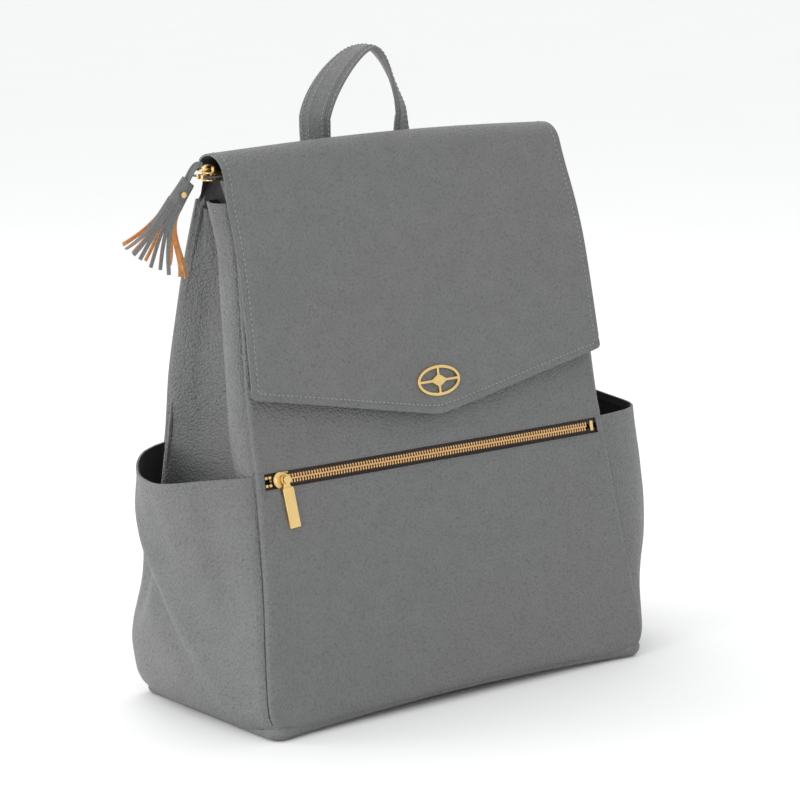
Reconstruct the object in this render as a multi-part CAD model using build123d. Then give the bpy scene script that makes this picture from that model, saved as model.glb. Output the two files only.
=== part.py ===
"""Diaper bag: a flap-top backpack in grey leather, one STEP file per sub-part.

Millimetres, +Z up. The origin is the centre of the base where it rests on the floor.
The front faces -Y, the wearer's back is +Y, and the bag's own right-hand side is +X.
"""
from build123d import *
import math
import os

# ---------------------------------------------------------------- driving dimensions
# Whole bag
BASE_DEPTH = 178.0            # front to back, on the floor
BASE_HALF_WIDTH = 178.0       # at the bottom seam
BELLY_HALF_WIDTH = 180.0      # widest, just above the bottom seam
WAIST_HALF_WIDTH = 166.0      # at the front zip
TOP_HALF_WIDTH = 158.0        # at the mouth
BOTTOM_SEAM_Z = 4.0
BELLY_Z = 20.0
WAIST_Z = 180.0
FRONT_TOP_Z = 401.0
BACK_TOP_Z = 403.0
CORNER_RADIUS = 16.0          # bottom corners of the front and back panels

# Outer faces in side view, as (y, z) from the bottom seam to the mouth
FRONT_PROFILE = [(-89.0, BOTTOM_SEAM_Z), (-44.5, 240.0), (-31.0, 350.0), (-10.0, FRONT_TOP_Z)]
BACK_PROFILE = [(90.0, BOTTOM_SEAM_Z), (92.0, 70.0), (69.0, 220.0), (46.0, 320.0),
                (20.0, BACK_TOP_Z)]

# Materials
SHELL_LEATHER = 2.4           # leather with its bonded foam
POCKET_LEATHER = 2.0
LINING = 0.8
FLAP_LEATHER = 1.4
FLAP_LINING = 0.9
BACK_FOAM = 5.0
GAP = 0.4                     # air left between neighbouring soft solids
SEAM_GAP = 0.6

# Base
BASE_LEATHER = 3.0
BASE_CORNER = 22.0
BOARD_THICKNESS = 2.6

# Side gussets and side pockets
GUSSET_TOP_Z = 385.0
VALLEY_DEPTH = 29.0           # how far the upper gusset folds inwards
ROLL_WIDTH = 21.0             # the rounded roll between the front seam and the fold
ROLL_SWELL = 2.0
POCKET_RIM_Z = 191.0
POCKET_BULGE = 47.0           # how far the rim stands out from the side seam

# Zips: a chain of brass teeth on woven tape
TOOTH_PITCH = 2.5
TOOTH_WIDTH = 1.05
CHAIN_HALF_WIDTH = 4.2
TOOTH_OVERLAP = 1.0           # how far each tooth reaches past the chain's centre line
TOOTH_THICKNESS = 3.2
TEETH_SPINE = 1.2
TAPE_THICKNESS = 0.8
TAPE_WIDTH = 10.0
SLIDER_LENGTH = 15.0
SLIDER_WIDTH = 12.0
SLIDER_PLATE = 1.1
SLIDER_CLEARANCE = 0.4        # between the teeth and the slider's plates and flanges

# Front pocket zip, in the plane of the lower front panel
FRONT_ZIP_Z = 185.2
FRONT_SLOT_HEIGHT = 15.5
FRONT_SLOT_X = (-158.4, 160.0)
FRONT_TAPE_X = (-160.6, 160.6)
FRONT_SLIDER_X = -143.5
FRONT_ZIP_DEPTH = 3.2         # the chain's mid-plane, behind the leather's outer face
PULL_LENGTH = 34.0
PULL_WIDTH = 9.0
PULL_EYE_RADIUS = 4.0
PULL_THICKNESS = 2.4
PULL_LEAN = 4.0               # degrees from straight down, towards +X
PIVOT_POST_RADIUS = 1.6
PIVOT_OFFSET = 1.5            # the pull's post, from the slider's middle

# Front pocket bag
POUCH_WIDTH = 310.0
POUCH_DEPTH = 6.6
POUCH_DROP = 122.0

# Mouth zip
MOUTH_Y = 4.0
MOUTH_ZIP_Z = 403.6
MOUTH_X = (-168.0, 158.0)
MOUTH_SLIDER_X = -158.0
MOUTH_FACING_BOTTOM_Z = 387.0
MOUTH_FACING_HALF_WIDTH = 155.0
ARCH_HEIGHT = 5.4
ARCH_SHIFT = -2.0             # the arch's middle, from the slider's middle

# Flap
CROWN_CENTRE = (5.5, 399.6)   # (y, z) of the rolled top's axis
CROWN_RADIUS = 20.0
CROWN_START = 12.0            # degrees above the back horizontal
CROWN_END = 176.0
ROOT_BOTTOM_Z = 388.0
FLAP_TOP_Z = 401.0
FLAP_CORNER_Z = 247.0
FLAP_TIP_Z = 216.5
FLAP_TOP_HALF_WIDTH = 159.0
FLAP_CORNER_HALF_WIDTH = 164.5
FLAP_PROFILE = [(-60.8, 214.0), (-54.5, 250.0), (-40.0, 330.0), (-28.5, 370.0), (-15.6, FLAP_TOP_Z)]

# Ornament and closure on the flap
ORNAMENT_Z = 241.0
ORNAMENT_HALF = (20.0, 11.5)
WASHER_RADIUS = 3.5
WASHER_X = 12.0               # each side of the middle
SNAP_Z = 231.0
SNAP_RADIUS = 9.0
SNAP_POST_RADIUS = 3.0
SNAP_SOCKET_HEIGHT = 3.8

# Grab handle
HANDLE_Y = 37.5
HANDLE_FOOT_Y = 35.0
HANDLE_FOOT_Z = 377.0
HANDLE_LEAN_TOP_Z = 425.0     # above this the legs stand upright
HANDLE_SPRING_Z = 436.0       # where the straight legs turn into the arch
HANDLE_TOP_Z = 489.0
HANDLE_HALF_SPAN = 41.0
HANDLE_WIDTH = 24.0
HANDLE_THICKNESS = 5.0
HANDLE_FOOT_TURN = 85.0       # degrees that each foot turns to lie flat against the back
HANDLE_STATIONS = 21

# Shoulder straps
STRAP_TOP_Z = 366.0
STRAP_PAD_BOTTOM_Z = 168.0
STRAP_PAD_WIDTH = 58.0
STRAP_PAD_THICKNESS = 10.0
STRAP_STANDOFF = 3.6          # from the back panel's face to the pad
STRAP_TOP_X = 52.0
STRAP_BOTTOM_X = 104.0
WEBBING_WIDTH = 30.0
WEBBING_THICKNESS = 1.8
WEBBING_BOTTOM = (134.0, 40.0)  # (x, z) where the webbing meets its tab

# Tassel on the mouth zip's slider, hanging outwards on the left
TASSEL_PIVOT = (MOUTH_SLIDER_X - 2.9, 408.7)   # (x, z) where the ring bears on the arch
TASSEL_RING_RADIUS = 4.4
TASSEL_RING_WIRE = 0.9
TASSEL_CAP_TOP = (-179.8, 401.8)
TASSEL_CAP_END = (-190.5, 386.5)
TASSEL_TIPS = (-214.0, 344.0)
TASSEL_CAP_RADIUS = 5.5
TASSEL_NECK = (8.0, 9.0)      # across and front to back, where the fringe leaves the cap
TASSEL_FRINGE_HALF = (27.0, 11.0)

os.makedirs("parts", exist_ok=True)


# ---------------------------------------------------------------- geometry helpers
def along(profile, z):
    """y of a (y, z) profile at a height, with its first and last runs extended."""
    last = len(profile) - 2
    for i in range(last + 1):
        (y0, z0), (y1, z1) = profile[i], profile[i + 1]
        if z <= z1 or i == last:
            return y0 + (y1 - y0) * (z - z0) / (z1 - z0)


def front_y(z):
    return along(FRONT_PROFILE, z)


def back_y(z):
    return along(BACK_PROFILE, z)


def half_width(z):
    edge = [(BASE_HALF_WIDTH, BOTTOM_SEAM_Z), (BELLY_HALF_WIDTH, BELLY_Z),
            (WAIST_HALF_WIDTH, WAIST_Z), (TOP_HALF_WIDTH, BACK_TOP_Z)]
    return along(edge, z)


def offset_line(points, distance):
    """The open polyline moved sideways by distance, to the left of its direction."""
    moved = []
    for i, (x, y) in enumerate(points):
        before = points[max(i - 1, 0)]
        after = points[min(i + 1, len(points) - 1)]
        normals = []
        for (ax, ay), (bx, by) in ((before, (x, y)), ((x, y), after)):
            run = math.hypot(bx - ax, by - ay)
            if run > 0:
                normals.append((-(by - ay) / run, (bx - ax) / run))
        nx = sum(n[0] for n in normals) / len(normals)
        ny = sum(n[1] for n in normals) / len(normals)
        scale = distance / (nx * nx + ny * ny)
        moved.append((x + nx * scale, y + ny * scale))
    return moved


def strip(points, near, far):
    """Closed outline between two sideways offsets of one polyline."""
    return offset_line(points, near) + offset_line(points, far)[::-1]


def polygon(points):
    """A flat face on XY with the given corners."""
    return make_face(Polyline(*points, close=True).edges())


def side_plate(profile, near, far, half_span):
    """A (y, z) strip extruded across the bag, symmetric in X."""
    face = Plane.YZ * polygon(strip(profile, near, far))
    return extrude(face, half_span, both=True)


def xz_block(points, reach=400.0):
    """A tall (x, z) outline extruded through the whole depth of the bag."""
    return extrude(Plane.XZ * polygon(points), reach, both=True)


def lofted(faces):
    return loft(faces, ruled=True)


def mirrored(shape):
    return mirror(shape, about=Plane.YZ)


def save(name, shape):
    export_step(shape, f"parts/{name}.step")


def save_pair(name, right_shape):
    save(f"right_{name}", right_shape)
    save(f"left_{name}", mirrored(right_shape))


# ---------------------------------------------------------------- base
def base_panel():
    outline = RectangleRounded(2 * BASE_HALF_WIDTH, BASE_DEPTH, BASE_CORNER)
    return extrude(outline, BASE_LEATHER)


def base_board():
    outline = RectangleRounded(2 * BASE_HALF_WIDTH - 24, BASE_DEPTH - 22, BASE_CORNER - 6)
    return Pos(0, 0, BASE_LEATHER + SEAM_GAP) * extrude(outline, BOARD_THICKNESS)


# ---------------------------------------------------------------- front and back panels
def panel_outline(top_z):
    """Half outline mirrored into a whole one, with rounded bottom corners."""
    right = [(BASE_HALF_WIDTH, BOTTOM_SEAM_Z), (BELLY_HALF_WIDTH, BELLY_Z),
             (WAIST_HALF_WIDTH, WAIST_Z), (half_width(top_z), top_z)]
    left = [(-x, z) for x, z in right[::-1]]
    face = make_face(Polyline(*right, *left, close=True).edges())
    corners = face.vertices().filter_by(lambda v: v.Y < BOTTOM_SEAM_Z + 1)
    rounded = fillet(corners, CORNER_RADIUS * 0.7)
    return extrude(Plane.XZ * rounded, 400, both=True)


def front_panel():
    plate = side_plate(FRONT_PROFILE, 0, -SHELL_LEATHER, BELLY_HALF_WIDTH + 5)
    panel = plate & panel_outline(FRONT_TOP_Z + 2)
    left, right = FRONT_SLOT_X
    slot = Box(right - left, 4 * SHELL_LEATHER, FRONT_SLOT_HEIGHT)
    slot_y = front_y(FRONT_ZIP_Z) + SHELL_LEATHER / 2
    return panel - Pos((left + right) / 2, slot_y, FRONT_ZIP_Z) * slot


def back_panel():
    plate = side_plate(BACK_PROFILE, 0, SHELL_LEATHER, BELLY_HALF_WIDTH + 5)
    return plate & panel_outline(BACK_TOP_Z + 2)


def back_foam():
    """Foam sheet between the back leather and the lining."""
    low, high = 24.0, 386.0
    profile = [(back_y(z), z) for z in (low, 70.0, 220.0, 320.0, high)]
    near = SHELL_LEATHER + GAP
    plate = side_plate(profile, near, near + BACK_FOAM, 150)
    taper = [(150, low), (122, 200), (116, high), (-116, high), (-122, 200), (-150, low)]
    return plate & xz_block(taper)


# ---------------------------------------------------------------- sides
def gusset():
    """Side leather that folds inwards above the pocket, from the base to its hem."""
    faces = []
    for z in (8.0, 70.0, 130.0, 220.0, 240.0, 320.0, 350.0, GUSSET_TOP_Z):
        edge = half_width(z) - 2.5
        front = front_y(z) + SHELL_LEATHER + 2 * SEAM_GAP
        back = back_y(z) - SHELL_LEATHER - POCKET_LEATHER - 2 * SEAM_GAP
        share = min(1.0, z / 220)
        fold = VALLEY_DEPTH * share
        roll = ROLL_SWELL * share
        crease = front + ROLL_WIDTH
        rest = back - crease
        line = [(edge, front), (edge + roll, front + 0.25 * ROLL_WIDTH),
                (edge + roll, front + 0.7 * ROLL_WIDTH), (edge - roll, crease),
                (edge - fold, crease + 0.4 * rest), (edge - 0.85 * fold, crease + 0.6 * rest),
                (edge - 0.2 * fold, back - 0.1 * rest), (edge, back)]
        faces.append(Pos(0, 0, z) * polygon(strip(line, 0, POCKET_LEATHER)))
    return lofted(faces)


def pocket_line(z):
    """The pocket wall seen from above, from the front seam to the back seam."""
    edge = half_width(z) + POCKET_LEATHER + GAP
    front = front_y(z) + GAP
    back = back_y(z) - 2 * GAP
    bulge = POCKET_BULGE * (z / POCKET_RIM_Z) ** 0.62
    line = []
    steps = 12
    for i in range(steps + 1):
        t = i / steps
        swell = math.sin(math.pi * t ** 0.88) ** 0.85
        line.append((edge + bulge * swell, front + (back - front) * t))
    return line


def side_pocket():
    faces = []
    for z in (BOTTOM_SEAM_Z, 20.0, 50.0, 95.0, 145.0, POCKET_RIM_Z):
        faces.append(Pos(0, 0, z) * polygon(strip(pocket_line(z), 0, POCKET_LEATHER)))
    return lofted(faces)


def mouth_facing(profile, side):
    """Cloth strip inside the top of a panel, from the lining up to the mouth zip."""
    top = min(point[1] for point in (FRONT_PROFILE[-1], BACK_PROFILE[-1])) - 1.0
    edge = [(along(profile, z), z) for z in (MOUTH_FACING_BOTTOM_Z, top)]
    near = side * (SHELL_LEATHER + GAP)
    return side_plate(edge, near, near + side * LINING, MOUTH_FACING_HALF_WIDTH)


def strap_tab():
    """Leather tab sewn over the back panel's lower corner, where the webbing ends."""
    x, z = WEBBING_BOTTOM
    profile = [(back_y(level), level) for level in (18.0, z + 14)]
    plate = side_plate(profile, -2.6, -GAP, 200)
    outline = [(x + 30, 18), (x + 36, 50), (x + 14, z + 14), (x - 16, z + 14), (x - 8, 18)]
    return plate & xz_block(outline)


# ---------------------------------------------------------------- lining
def lining_face(z, inset):
    room = VALLEY_DEPTH * min(1.0, z / 200) + 9.0
    x = half_width(z) - room - inset
    front = front_y(z) + SHELL_LEATHER + POUCH_DEPTH + 3.4 + inset
    back = back_y(z) - SHELL_LEATHER - BACK_FOAM - 1.4 - inset
    return Pos(0, 0, z) * polygon([(x, front), (x, back), (-x, back), (-x, front)])


def main_lining():
    """Open-topped cloth liner of the main compartment."""
    floor = BASE_LEATHER + SEAM_GAP + BOARD_THICKNESS + GAP
    top = 378.0
    levels = (70.0, 200.0, 240.0, 320.0, 350.0)
    outer = lofted([lining_face(z, 0) for z in (floor, *levels, top)])
    inner = lofted([lining_face(z, LINING) for z in (floor + LINING, *levels, top + 5)])
    return outer - inner


def slip_pocket():
    """Flat elasticated pocket on the lining's back wall."""
    profile = [(back_y(z), z) for z in (90.0, 220.0, 236.0)]
    near = SHELL_LEATHER + BACK_FOAM + 2.2 + LINING + GAP
    return side_plate(profile, near, near + 2.0, 95)


# ---------------------------------------------------------------- zips
def comb(x_start, x_end, side, phase):
    """One side of a zip chain: a spine with teeth that reach past the centre line."""
    spine = side * (CHAIN_HALF_WIDTH - TEETH_SPINE)
    edge = side * CHAIN_HALF_WIDTH
    tip = -side * TOOTH_OVERLAP
    count = int((x_end - x_start - TOOTH_PITCH) / TOOTH_PITCH)
    points = [(x_start, edge), (x_start, spine)]
    for i in range(count):
        x = x_start + phase + i * TOOTH_PITCH
        points += [(x, spine), (x, tip), (x + TOOTH_WIDTH, tip), (x + TOOTH_WIDTH, spine)]
    points += [(x_end, spine), (x_end, edge)]
    return extrude(polygon(points), TOOTH_THICKNESS / 2, both=True)


def tape(x_start, x_end, side):
    middle = side * (CHAIN_HALF_WIDTH + 0.1 + TAPE_WIDTH / 2)
    length = x_end - x_start
    return Pos((x_start + x_end) / 2, middle, 0) * Box(length, TAPE_WIDTH, TAPE_THICKNESS)


def slider_body():
    """Two plates joined by a wedge, with flanges that hold the chain between them."""
    half_gap = TOOTH_THICKNESS / 2 + SLIDER_CLEARANCE
    plate = extrude(RectangleRounded(SLIDER_LENGTH, SLIDER_WIDTH, 3.0), SLIDER_PLATE)
    body = Pos(0, 0, half_gap) * plate + Pos(0, 0, -half_gap - SLIDER_PLATE) * plate
    flange_y = CHAIN_HALF_WIDTH + SLIDER_CLEARANCE + 0.5
    tape_way = Box(SLIDER_LENGTH, SLIDER_WIDTH + 2, TAPE_THICKNESS + 0.8)
    for side in (-1, 1):
        body += Pos(2.5, side * flange_y, 0) * (Box(8, 1.0, 2 * half_gap + 0.2) - tape_way)
    wedge = Cylinder(1.5, 2 * half_gap + 0.2)
    return body + Pos(-SLIDER_LENGTH / 2 + 2.2, 0, 0) * wedge


def slider_top():
    """Height of the slider's outer plate above the chain's mid-plane."""
    return TOOTH_THICKNESS / 2 + SLIDER_CLEARANCE + SLIDER_PLATE


def front_zip_plane():
    """X along the zip, Y up the slope of the panel and Z out of its face."""
    (y0, z0), (y1, z1) = FRONT_PROFILE[0], FRONT_PROFILE[1]
    run = math.hypot(y1 - y0, z1 - z0)
    up = Vector(0, (y1 - y0) / run, (z1 - z0) / run)
    out = Vector(1, 0, 0).cross(up)
    face_point = Vector(0, front_y(FRONT_ZIP_Z), FRONT_ZIP_Z)
    return Plane(origin=face_point - out * FRONT_ZIP_DEPTH, x_dir=(1, 0, 0), z_dir=out)


def mouth_plane():
    return Plane(origin=(0, MOUTH_Y, MOUTH_ZIP_Z), x_dir=(1, 0, 0), z_dir=(0, 0, 1))


def stops(near_xs, x_far):
    """Small metal clips that end the chain: pairs near the slider, one across the far end."""
    clip = Box(2.6, 2.4, TOOTH_THICKNESS + 0.6)
    group = Pos(x_far, 0, 0) * Box(3.0, 2 * CHAIN_HALF_WIDTH, TOOTH_THICKNESS + 0.6)
    for side in (-1, 1):
        for x in near_xs:
            group += Pos(x, side * 2.9, 0) * clip
    return group


def save_zip(prefix, plane, x_range, slider_x, names, near_pairs):
    """Tapes, teeth and stops of one zip, with the slider parked at its -X end."""
    left, right = x_range
    teeth_start = slider_x - 1.0
    teeth_end = right - 7.0
    for side, name in zip((-1, 1), names):
        phase = 0.2 if side < 0 else 0.2 + TOOTH_PITCH / 2
        save(f"{prefix}_tape_{name}", plane * tape(left, right, side))
        save(f"{prefix}_teeth_{name}", plane * comb(teeth_start, teeth_end, side, phase))
    first = slider_x - SLIDER_LENGTH / 2 - 1.8
    near_stops = [first - 3.4 * i for i in range(near_pairs)]
    save(f"{prefix}_end_stops", plane * stops(near_stops, teeth_end + 1.8))


def front_zip_slider():
    post_x = FRONT_SLIDER_X + PIVOT_OFFSET
    top = slider_top()
    post = Pos(post_x, 0, top) * extrude(Circle(PIVOT_POST_RADIUS), 4.0)
    head = Pos(post_x, 0, top + 4.0) * extrude(Circle(PIVOT_POST_RADIUS + 1.4), 1.0)
    return front_zip_plane() * (Pos(FRONT_SLIDER_X, 0, 0) * slider_body() + post + head)


def front_zip_pull():
    """Flat bar with an eye that turns on the slider's post."""
    eye = Circle(PULL_EYE_RADIUS)
    bar = Pos(0, -(PULL_LENGTH / 2 + 2)) * RectangleRounded(PULL_WIDTH, PULL_LENGTH, 1.4)
    neck = Pos(0, -4) * Rectangle(5.0, 5.0)
    face = eye + neck + bar - Circle(PIVOT_POST_RADIUS + 0.05)
    solid = extrude(face, PULL_THICKNESS)
    place = Pos(FRONT_SLIDER_X + PIVOT_OFFSET, 0, slider_top() + 0.8)
    return front_zip_plane() * (place * Rot(0, 0, PULL_LEAN) * solid)


def front_pocket_bag():
    """Flat cloth pouch behind the front panel, open at the zip."""
    top, bottom = 16.5, -POUCH_DROP
    near = FRONT_ZIP_DEPTH - SHELL_LEATHER - GAP
    height = top - bottom
    middle = (top + bottom) / 2
    walls = Box(POUCH_WIDTH, height, POUCH_DEPTH)
    walls -= Box(POUCH_WIDTH - 2 * LINING, height - 2 * LINING, POUCH_DEPTH - 2 * LINING)
    pouch = Pos(0, middle, near - POUCH_DEPTH / 2) * walls
    window_height = 2 * top - 2 * LINING
    window_depth = near + slider_top() + GAP
    window = Pos(0, 0, near - window_depth / 2) * Box(POUCH_WIDTH + 2, window_height, window_depth)
    return front_zip_plane() * (pouch - window)


def mouth_zip_slider():
    """Slider with an arch on top for the tassel's ring."""
    arch = Pos(0, 0, ARCH_HEIGHT / 2) * Box(9.0, 2.2, ARCH_HEIGHT)
    arch -= Pos(0, 0, ARCH_HEIGHT / 2 - 0.6) * Box(6.0, 4.0, 3.4)
    place = Pos(MOUTH_SLIDER_X, 0, 0)
    return mouth_plane() * (place * (slider_body() + Pos(ARCH_SHIFT, 0, slider_top() - 0.1) * arch))


# ---------------------------------------------------------------- flap
def crown_band(outer_radius, thickness, start, end):
    """Part of a tube round the crown's axis, between two angles from +Y."""
    cy, cz = CROWN_CENTRE
    outer = CenterArc((cy, cz), outer_radius, start, end - start)
    inner = CenterArc((cy, cz), outer_radius - thickness, start, end - start)
    sides = [Line(outer @ 0, inner @ 0), Line(outer @ 1, inner @ 1)]
    face = make_face([*outer.edges(), *inner.edges(), *sides[0].edges(), *sides[1].edges()])
    return extrude(Plane.YZ * face, FLAP_TOP_HALF_WIDTH, both=True)


def flap_outline(inset=0.0):
    """The hanging flap from the front: slightly flared, with a shallow V at the bottom."""
    top = FLAP_TOP_HALF_WIDTH - inset
    corner = FLAP_CORNER_HALF_WIDTH - inset
    return [(top, FLAP_TOP_Z + 1), (corner, FLAP_CORNER_Z + inset), (0, FLAP_TIP_Z + inset),
            (-corner, FLAP_CORNER_Z + inset), (-top, FLAP_TOP_Z + 1)]


def flap_front(near, far):
    plate = side_plate(FLAP_PROFILE, near, far, FLAP_CORNER_HALF_WIDTH + 5)
    return plate & xz_block(flap_outline())


def flap_root():
    """Sewn end of the flap, on the outside of the back panel."""
    low = ROOT_BOTTOM_Z
    high = CROWN_CENTRE[1] + 2.0
    thickness = FLAP_LEATHER + FLAP_LINING
    outer = CROWN_CENTRE[0] + CROWN_RADIUS
    face = polygon([(back_y(low) + GAP, low), (back_y(low) + GAP + thickness, low),
                    (outer, high), (outer - thickness, high)])
    return extrude(Plane.YZ * face, FLAP_TOP_HALF_WIDTH, both=True)


def flap_tilt_plane(z, depth):
    """A plane on the flap's lower front, Z out of its face, sunk by depth."""
    (y0, z0), (y1, z1) = FLAP_PROFILE[0], FLAP_PROFILE[1]
    run = math.hypot(y1 - y0, z1 - z0)
    out = Vector(1, 0, 0).cross(Vector(0, (y1 - y0) / run, (z1 - z0) / run))
    point = Vector(0, along(FLAP_PROFILE, z), z)
    return Plane(origin=point - out * depth, x_dir=(1, 0, 0), z_dir=out)


def ornament():
    """Oval ring with a lozenge in the middle, held by four short bars."""
    half_x, half_y = ORNAMENT_HALF
    face = Ellipse(half_x, half_y) - Ellipse(half_x - 2.2, half_y - 2.2)
    lozenge = polygon([(8.0, 0), (0, 5.0), (-8.0, 0), (0, -5.0)])
    bars = Rectangle(2 * half_x - 3, 1.8) + Rectangle(1.8, 2 * half_y - 3)
    solid = extrude(face + lozenge + bars, 2.0)
    return flap_tilt_plane(ORNAMENT_Z, -0.1) * solid


def ornament_washers():
    """Two small plates inside the flap that the ornament's prongs are bent over."""
    depth = FLAP_LEATHER + FLAP_LINING + 0.6
    disc = extrude(Circle(WASHER_RADIUS), 0.5)
    discs = Pos(-WASHER_X, 0, 0) * disc + Pos(WASHER_X, 0, 0) * disc
    return flap_tilt_plane(ORNAMENT_Z + 3.0, depth) * discs


def snap_male():
    depth = FLAP_LEATHER + FLAP_LINING + 0.2
    disc = extrude(Circle(SNAP_RADIUS), -1.4)
    post = Pos(0, 0, -1.4) * extrude(Circle(SNAP_POST_RADIUS), -2.4)
    return flap_tilt_plane(SNAP_Z, depth) * (disc + post)


def snap_female():
    (y0, z0), (y1, z1) = FRONT_PROFILE[0], FRONT_PROFILE[1]
    run = math.hypot(y1 - y0, z1 - z0)
    out = Vector(1, 0, 0).cross(Vector(0, (y1 - y0) / run, (z1 - z0) / run))
    origin = Vector(0, front_y(SNAP_Z), SNAP_Z) + out * 0.1
    plane = Plane(origin=origin, x_dir=(1, 0, 0), z_dir=out)
    disc = extrude(Circle(SNAP_RADIUS) - Circle(SNAP_POST_RADIUS + 1.2), SNAP_SOCKET_HEIGHT)
    return plane * (disc + extrude(Circle(SNAP_RADIUS), 1.0))


# ---------------------------------------------------------------- grab handle
def handle_point(t):
    """Point on the arch's middle line, t from 0 at the left foot to 1 at the right."""
    leg_share = 0.25
    leg = HANDLE_SPRING_Z - HANDLE_FOOT_Z
    rise = HANDLE_TOP_Z - HANDLE_THICKNESS / 2 - HANDLE_SPRING_Z
    from_foot = min(t, 1 - t) / leg_share
    side = -1 if t < 0.5 else 1
    if from_foot < 1:
        x, z = side * HANDLE_HALF_SPAN, HANDLE_FOOT_Z + leg * from_foot
    else:
        angle = math.pi * (t - leg_share) / (1 - 2 * leg_share)
        x, z = -HANDLE_HALF_SPAN * math.cos(angle), HANDLE_SPRING_Z + rise * math.sin(angle)
    lean = min(1.0, (z - HANDLE_FOOT_Z) / (HANDLE_LEAN_TOP_Z - HANDLE_FOOT_Z))
    return Vector(x, HANDLE_FOOT_Y + (HANDLE_Y - HANDLE_FOOT_Y) * lean, z)


def grab_handle():
    """Rolled leather band whose feet turn to lie flat against the back."""
    faces = []
    for i in range(HANDLE_STATIONS):
        t = i / (HANDLE_STATIONS - 1)
        direction = (handle_point(min(t + 0.01, 1)) - handle_point(max(t - 0.01, 0))).normalized()
        foot = abs(2 * t - 1)
        turn = HANDLE_FOOT_TURN * min(1.0, foot / 0.7) ** 1.5 * (1 if t < 0.5 else -1)
        depth_way = Vector(0, 1, 0) - direction * direction.Y
        across = depth_way.rotate(Axis((0, 0, 0), direction), turn)
        plane = Plane(origin=handle_point(t), x_dir=across, z_dir=direction)
        faces.append(plane * Rectangle(HANDLE_WIDTH, HANDLE_THICKNESS))
    return lofted(faces)


def handle_patch():
    """Leather patch on the back panel that both handle feet and both straps are sewn into."""
    profile = [(back_y(z), z) for z in (330.0, 384.0)]
    plate = side_plate(profile, -2.4, -GAP, 90)
    return plate & xz_block([(88, 340), (88, 372), (70, 384), (-70, 384), (-88, 372), (-88, 340),
                             (-70, 330), (70, 330)])


# ---------------------------------------------------------------- shoulder straps (right)
def strap_centre(z):
    share = (STRAP_TOP_Z - z) / (STRAP_TOP_Z - STRAP_PAD_BOTTOM_Z)
    return STRAP_TOP_X + (STRAP_BOTTOM_X - STRAP_TOP_X) * share


def strap_pad():
    levels = (STRAP_PAD_BOTTOM_Z, 220.0, 320.0, STRAP_TOP_Z)
    profile = [(back_y(z), z) for z in levels]
    near = -STRAP_STANDOFF
    plate = side_plate(profile, near - STRAP_PAD_THICKNESS, near, 200)
    half = STRAP_PAD_WIDTH / 2
    sides = [(strap_centre(z) + half, z) for z in levels]
    sides += [(strap_centre(z) - half, z) for z in levels[::-1]]
    return plate & xz_block(sides)


def strap_webbing():
    """Webbing from under the pad's lower end to the tab at the base."""
    x, z = WEBBING_BOTTOM
    top = STRAP_PAD_BOTTOM_Z - 1.0
    profile = [(back_y(level), level) for level in (z + 16, 70.0, 120.0, top)]
    near = -STRAP_STANDOFF - 2.0
    plate = side_plate(profile, near - WEBBING_THICKNESS, near, 200)
    half = WEBBING_WIDTH / 2
    centre = strap_centre(top)
    outline = [(x + half, z + 16), (centre + half, top), (centre - half, top), (x - half, z + 16)]
    return plate & xz_block(outline)


def strap_adjuster():
    """Three-bar metal slider that the webbing runs through, on the outside of the webbing."""
    frame = RectangleRounded(40, 24, 3) - RectangleRounded(32, 6.0, 1).locate(Location((0, 6, 0)))
    frame -= RectangleRounded(32, 6.0, 1).locate(Location((0, -6, 0)))
    z = STRAP_PAD_BOTTOM_Z - 22.0
    slope = math.degrees(math.atan2(back_y(120) - back_y(160), 40.0))
    y = back_y(z) + STRAP_STANDOFF + 2.0 + WEBBING_THICKNESS + 1.0
    place = Plane(origin=(strap_centre(z) + 1, y, z), x_dir=(-1, 0, 0), z_dir=(0, 1, 0))
    return place * (Rot(-slope, 0, 0) * extrude(frame, 2.4))


# ---------------------------------------------------------------- tassel
def tassel_direction():
    """Unit (x, z) from the cap's top towards the fringe."""
    dx = TASSEL_CAP_END[0] - TASSEL_CAP_TOP[0]
    dz = TASSEL_CAP_END[1] - TASSEL_CAP_TOP[1]
    run = math.hypot(dx, dz)
    return dx / run, dz / run


def tassel_plane(point):
    dx, dz = tassel_direction()
    return Plane(origin=(point[0], MOUTH_Y, point[1]), x_dir=(0, 1, 0), z_dir=(dx, 0, dz))


def tassel_ring():
    """Wire ring lying level, through the slider's arch."""
    x, z = TASSEL_PIVOT
    return Pos(x - TASSEL_RING_RADIUS, MOUTH_Y, z) * Torus(TASSEL_RING_RADIUS, TASSEL_RING_WIRE)


def tassel_loop():
    """Narrow leather strip folded round the ring's far side, down to the cap."""
    x0, z0 = TASSEL_PIVOT[0] - 2 * TASSEL_RING_RADIUS, TASSEL_PIVOT[1]
    x1, z1 = TASSEL_CAP_TOP[0] + 1.8, TASSEL_CAP_TOP[1] + 1.6
    length = math.hypot(x1 - x0, z1 - z0)
    band = SlotCenterToCenter(length, 5.8) - SlotCenterToCenter(length, 3.4)
    plane = Plane(origin=((x0 + x1) / 2, MOUTH_Y, (z0 + z1) / 2), x_dir=(x1 - x0, 0, z1 - z0),
                  z_dir=(0, 1, 0))
    return plane * extrude(band, 2.2, both=True)


def tassel_cap():
    height = math.dist(TASSEL_CAP_TOP, TASSEL_CAP_END)
    cap = Pos(0, 0, 1.2) * extrude(Circle(TASSEL_CAP_RADIUS), height + 2)
    return tassel_plane(TASSEL_CAP_TOP) * cap


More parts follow.
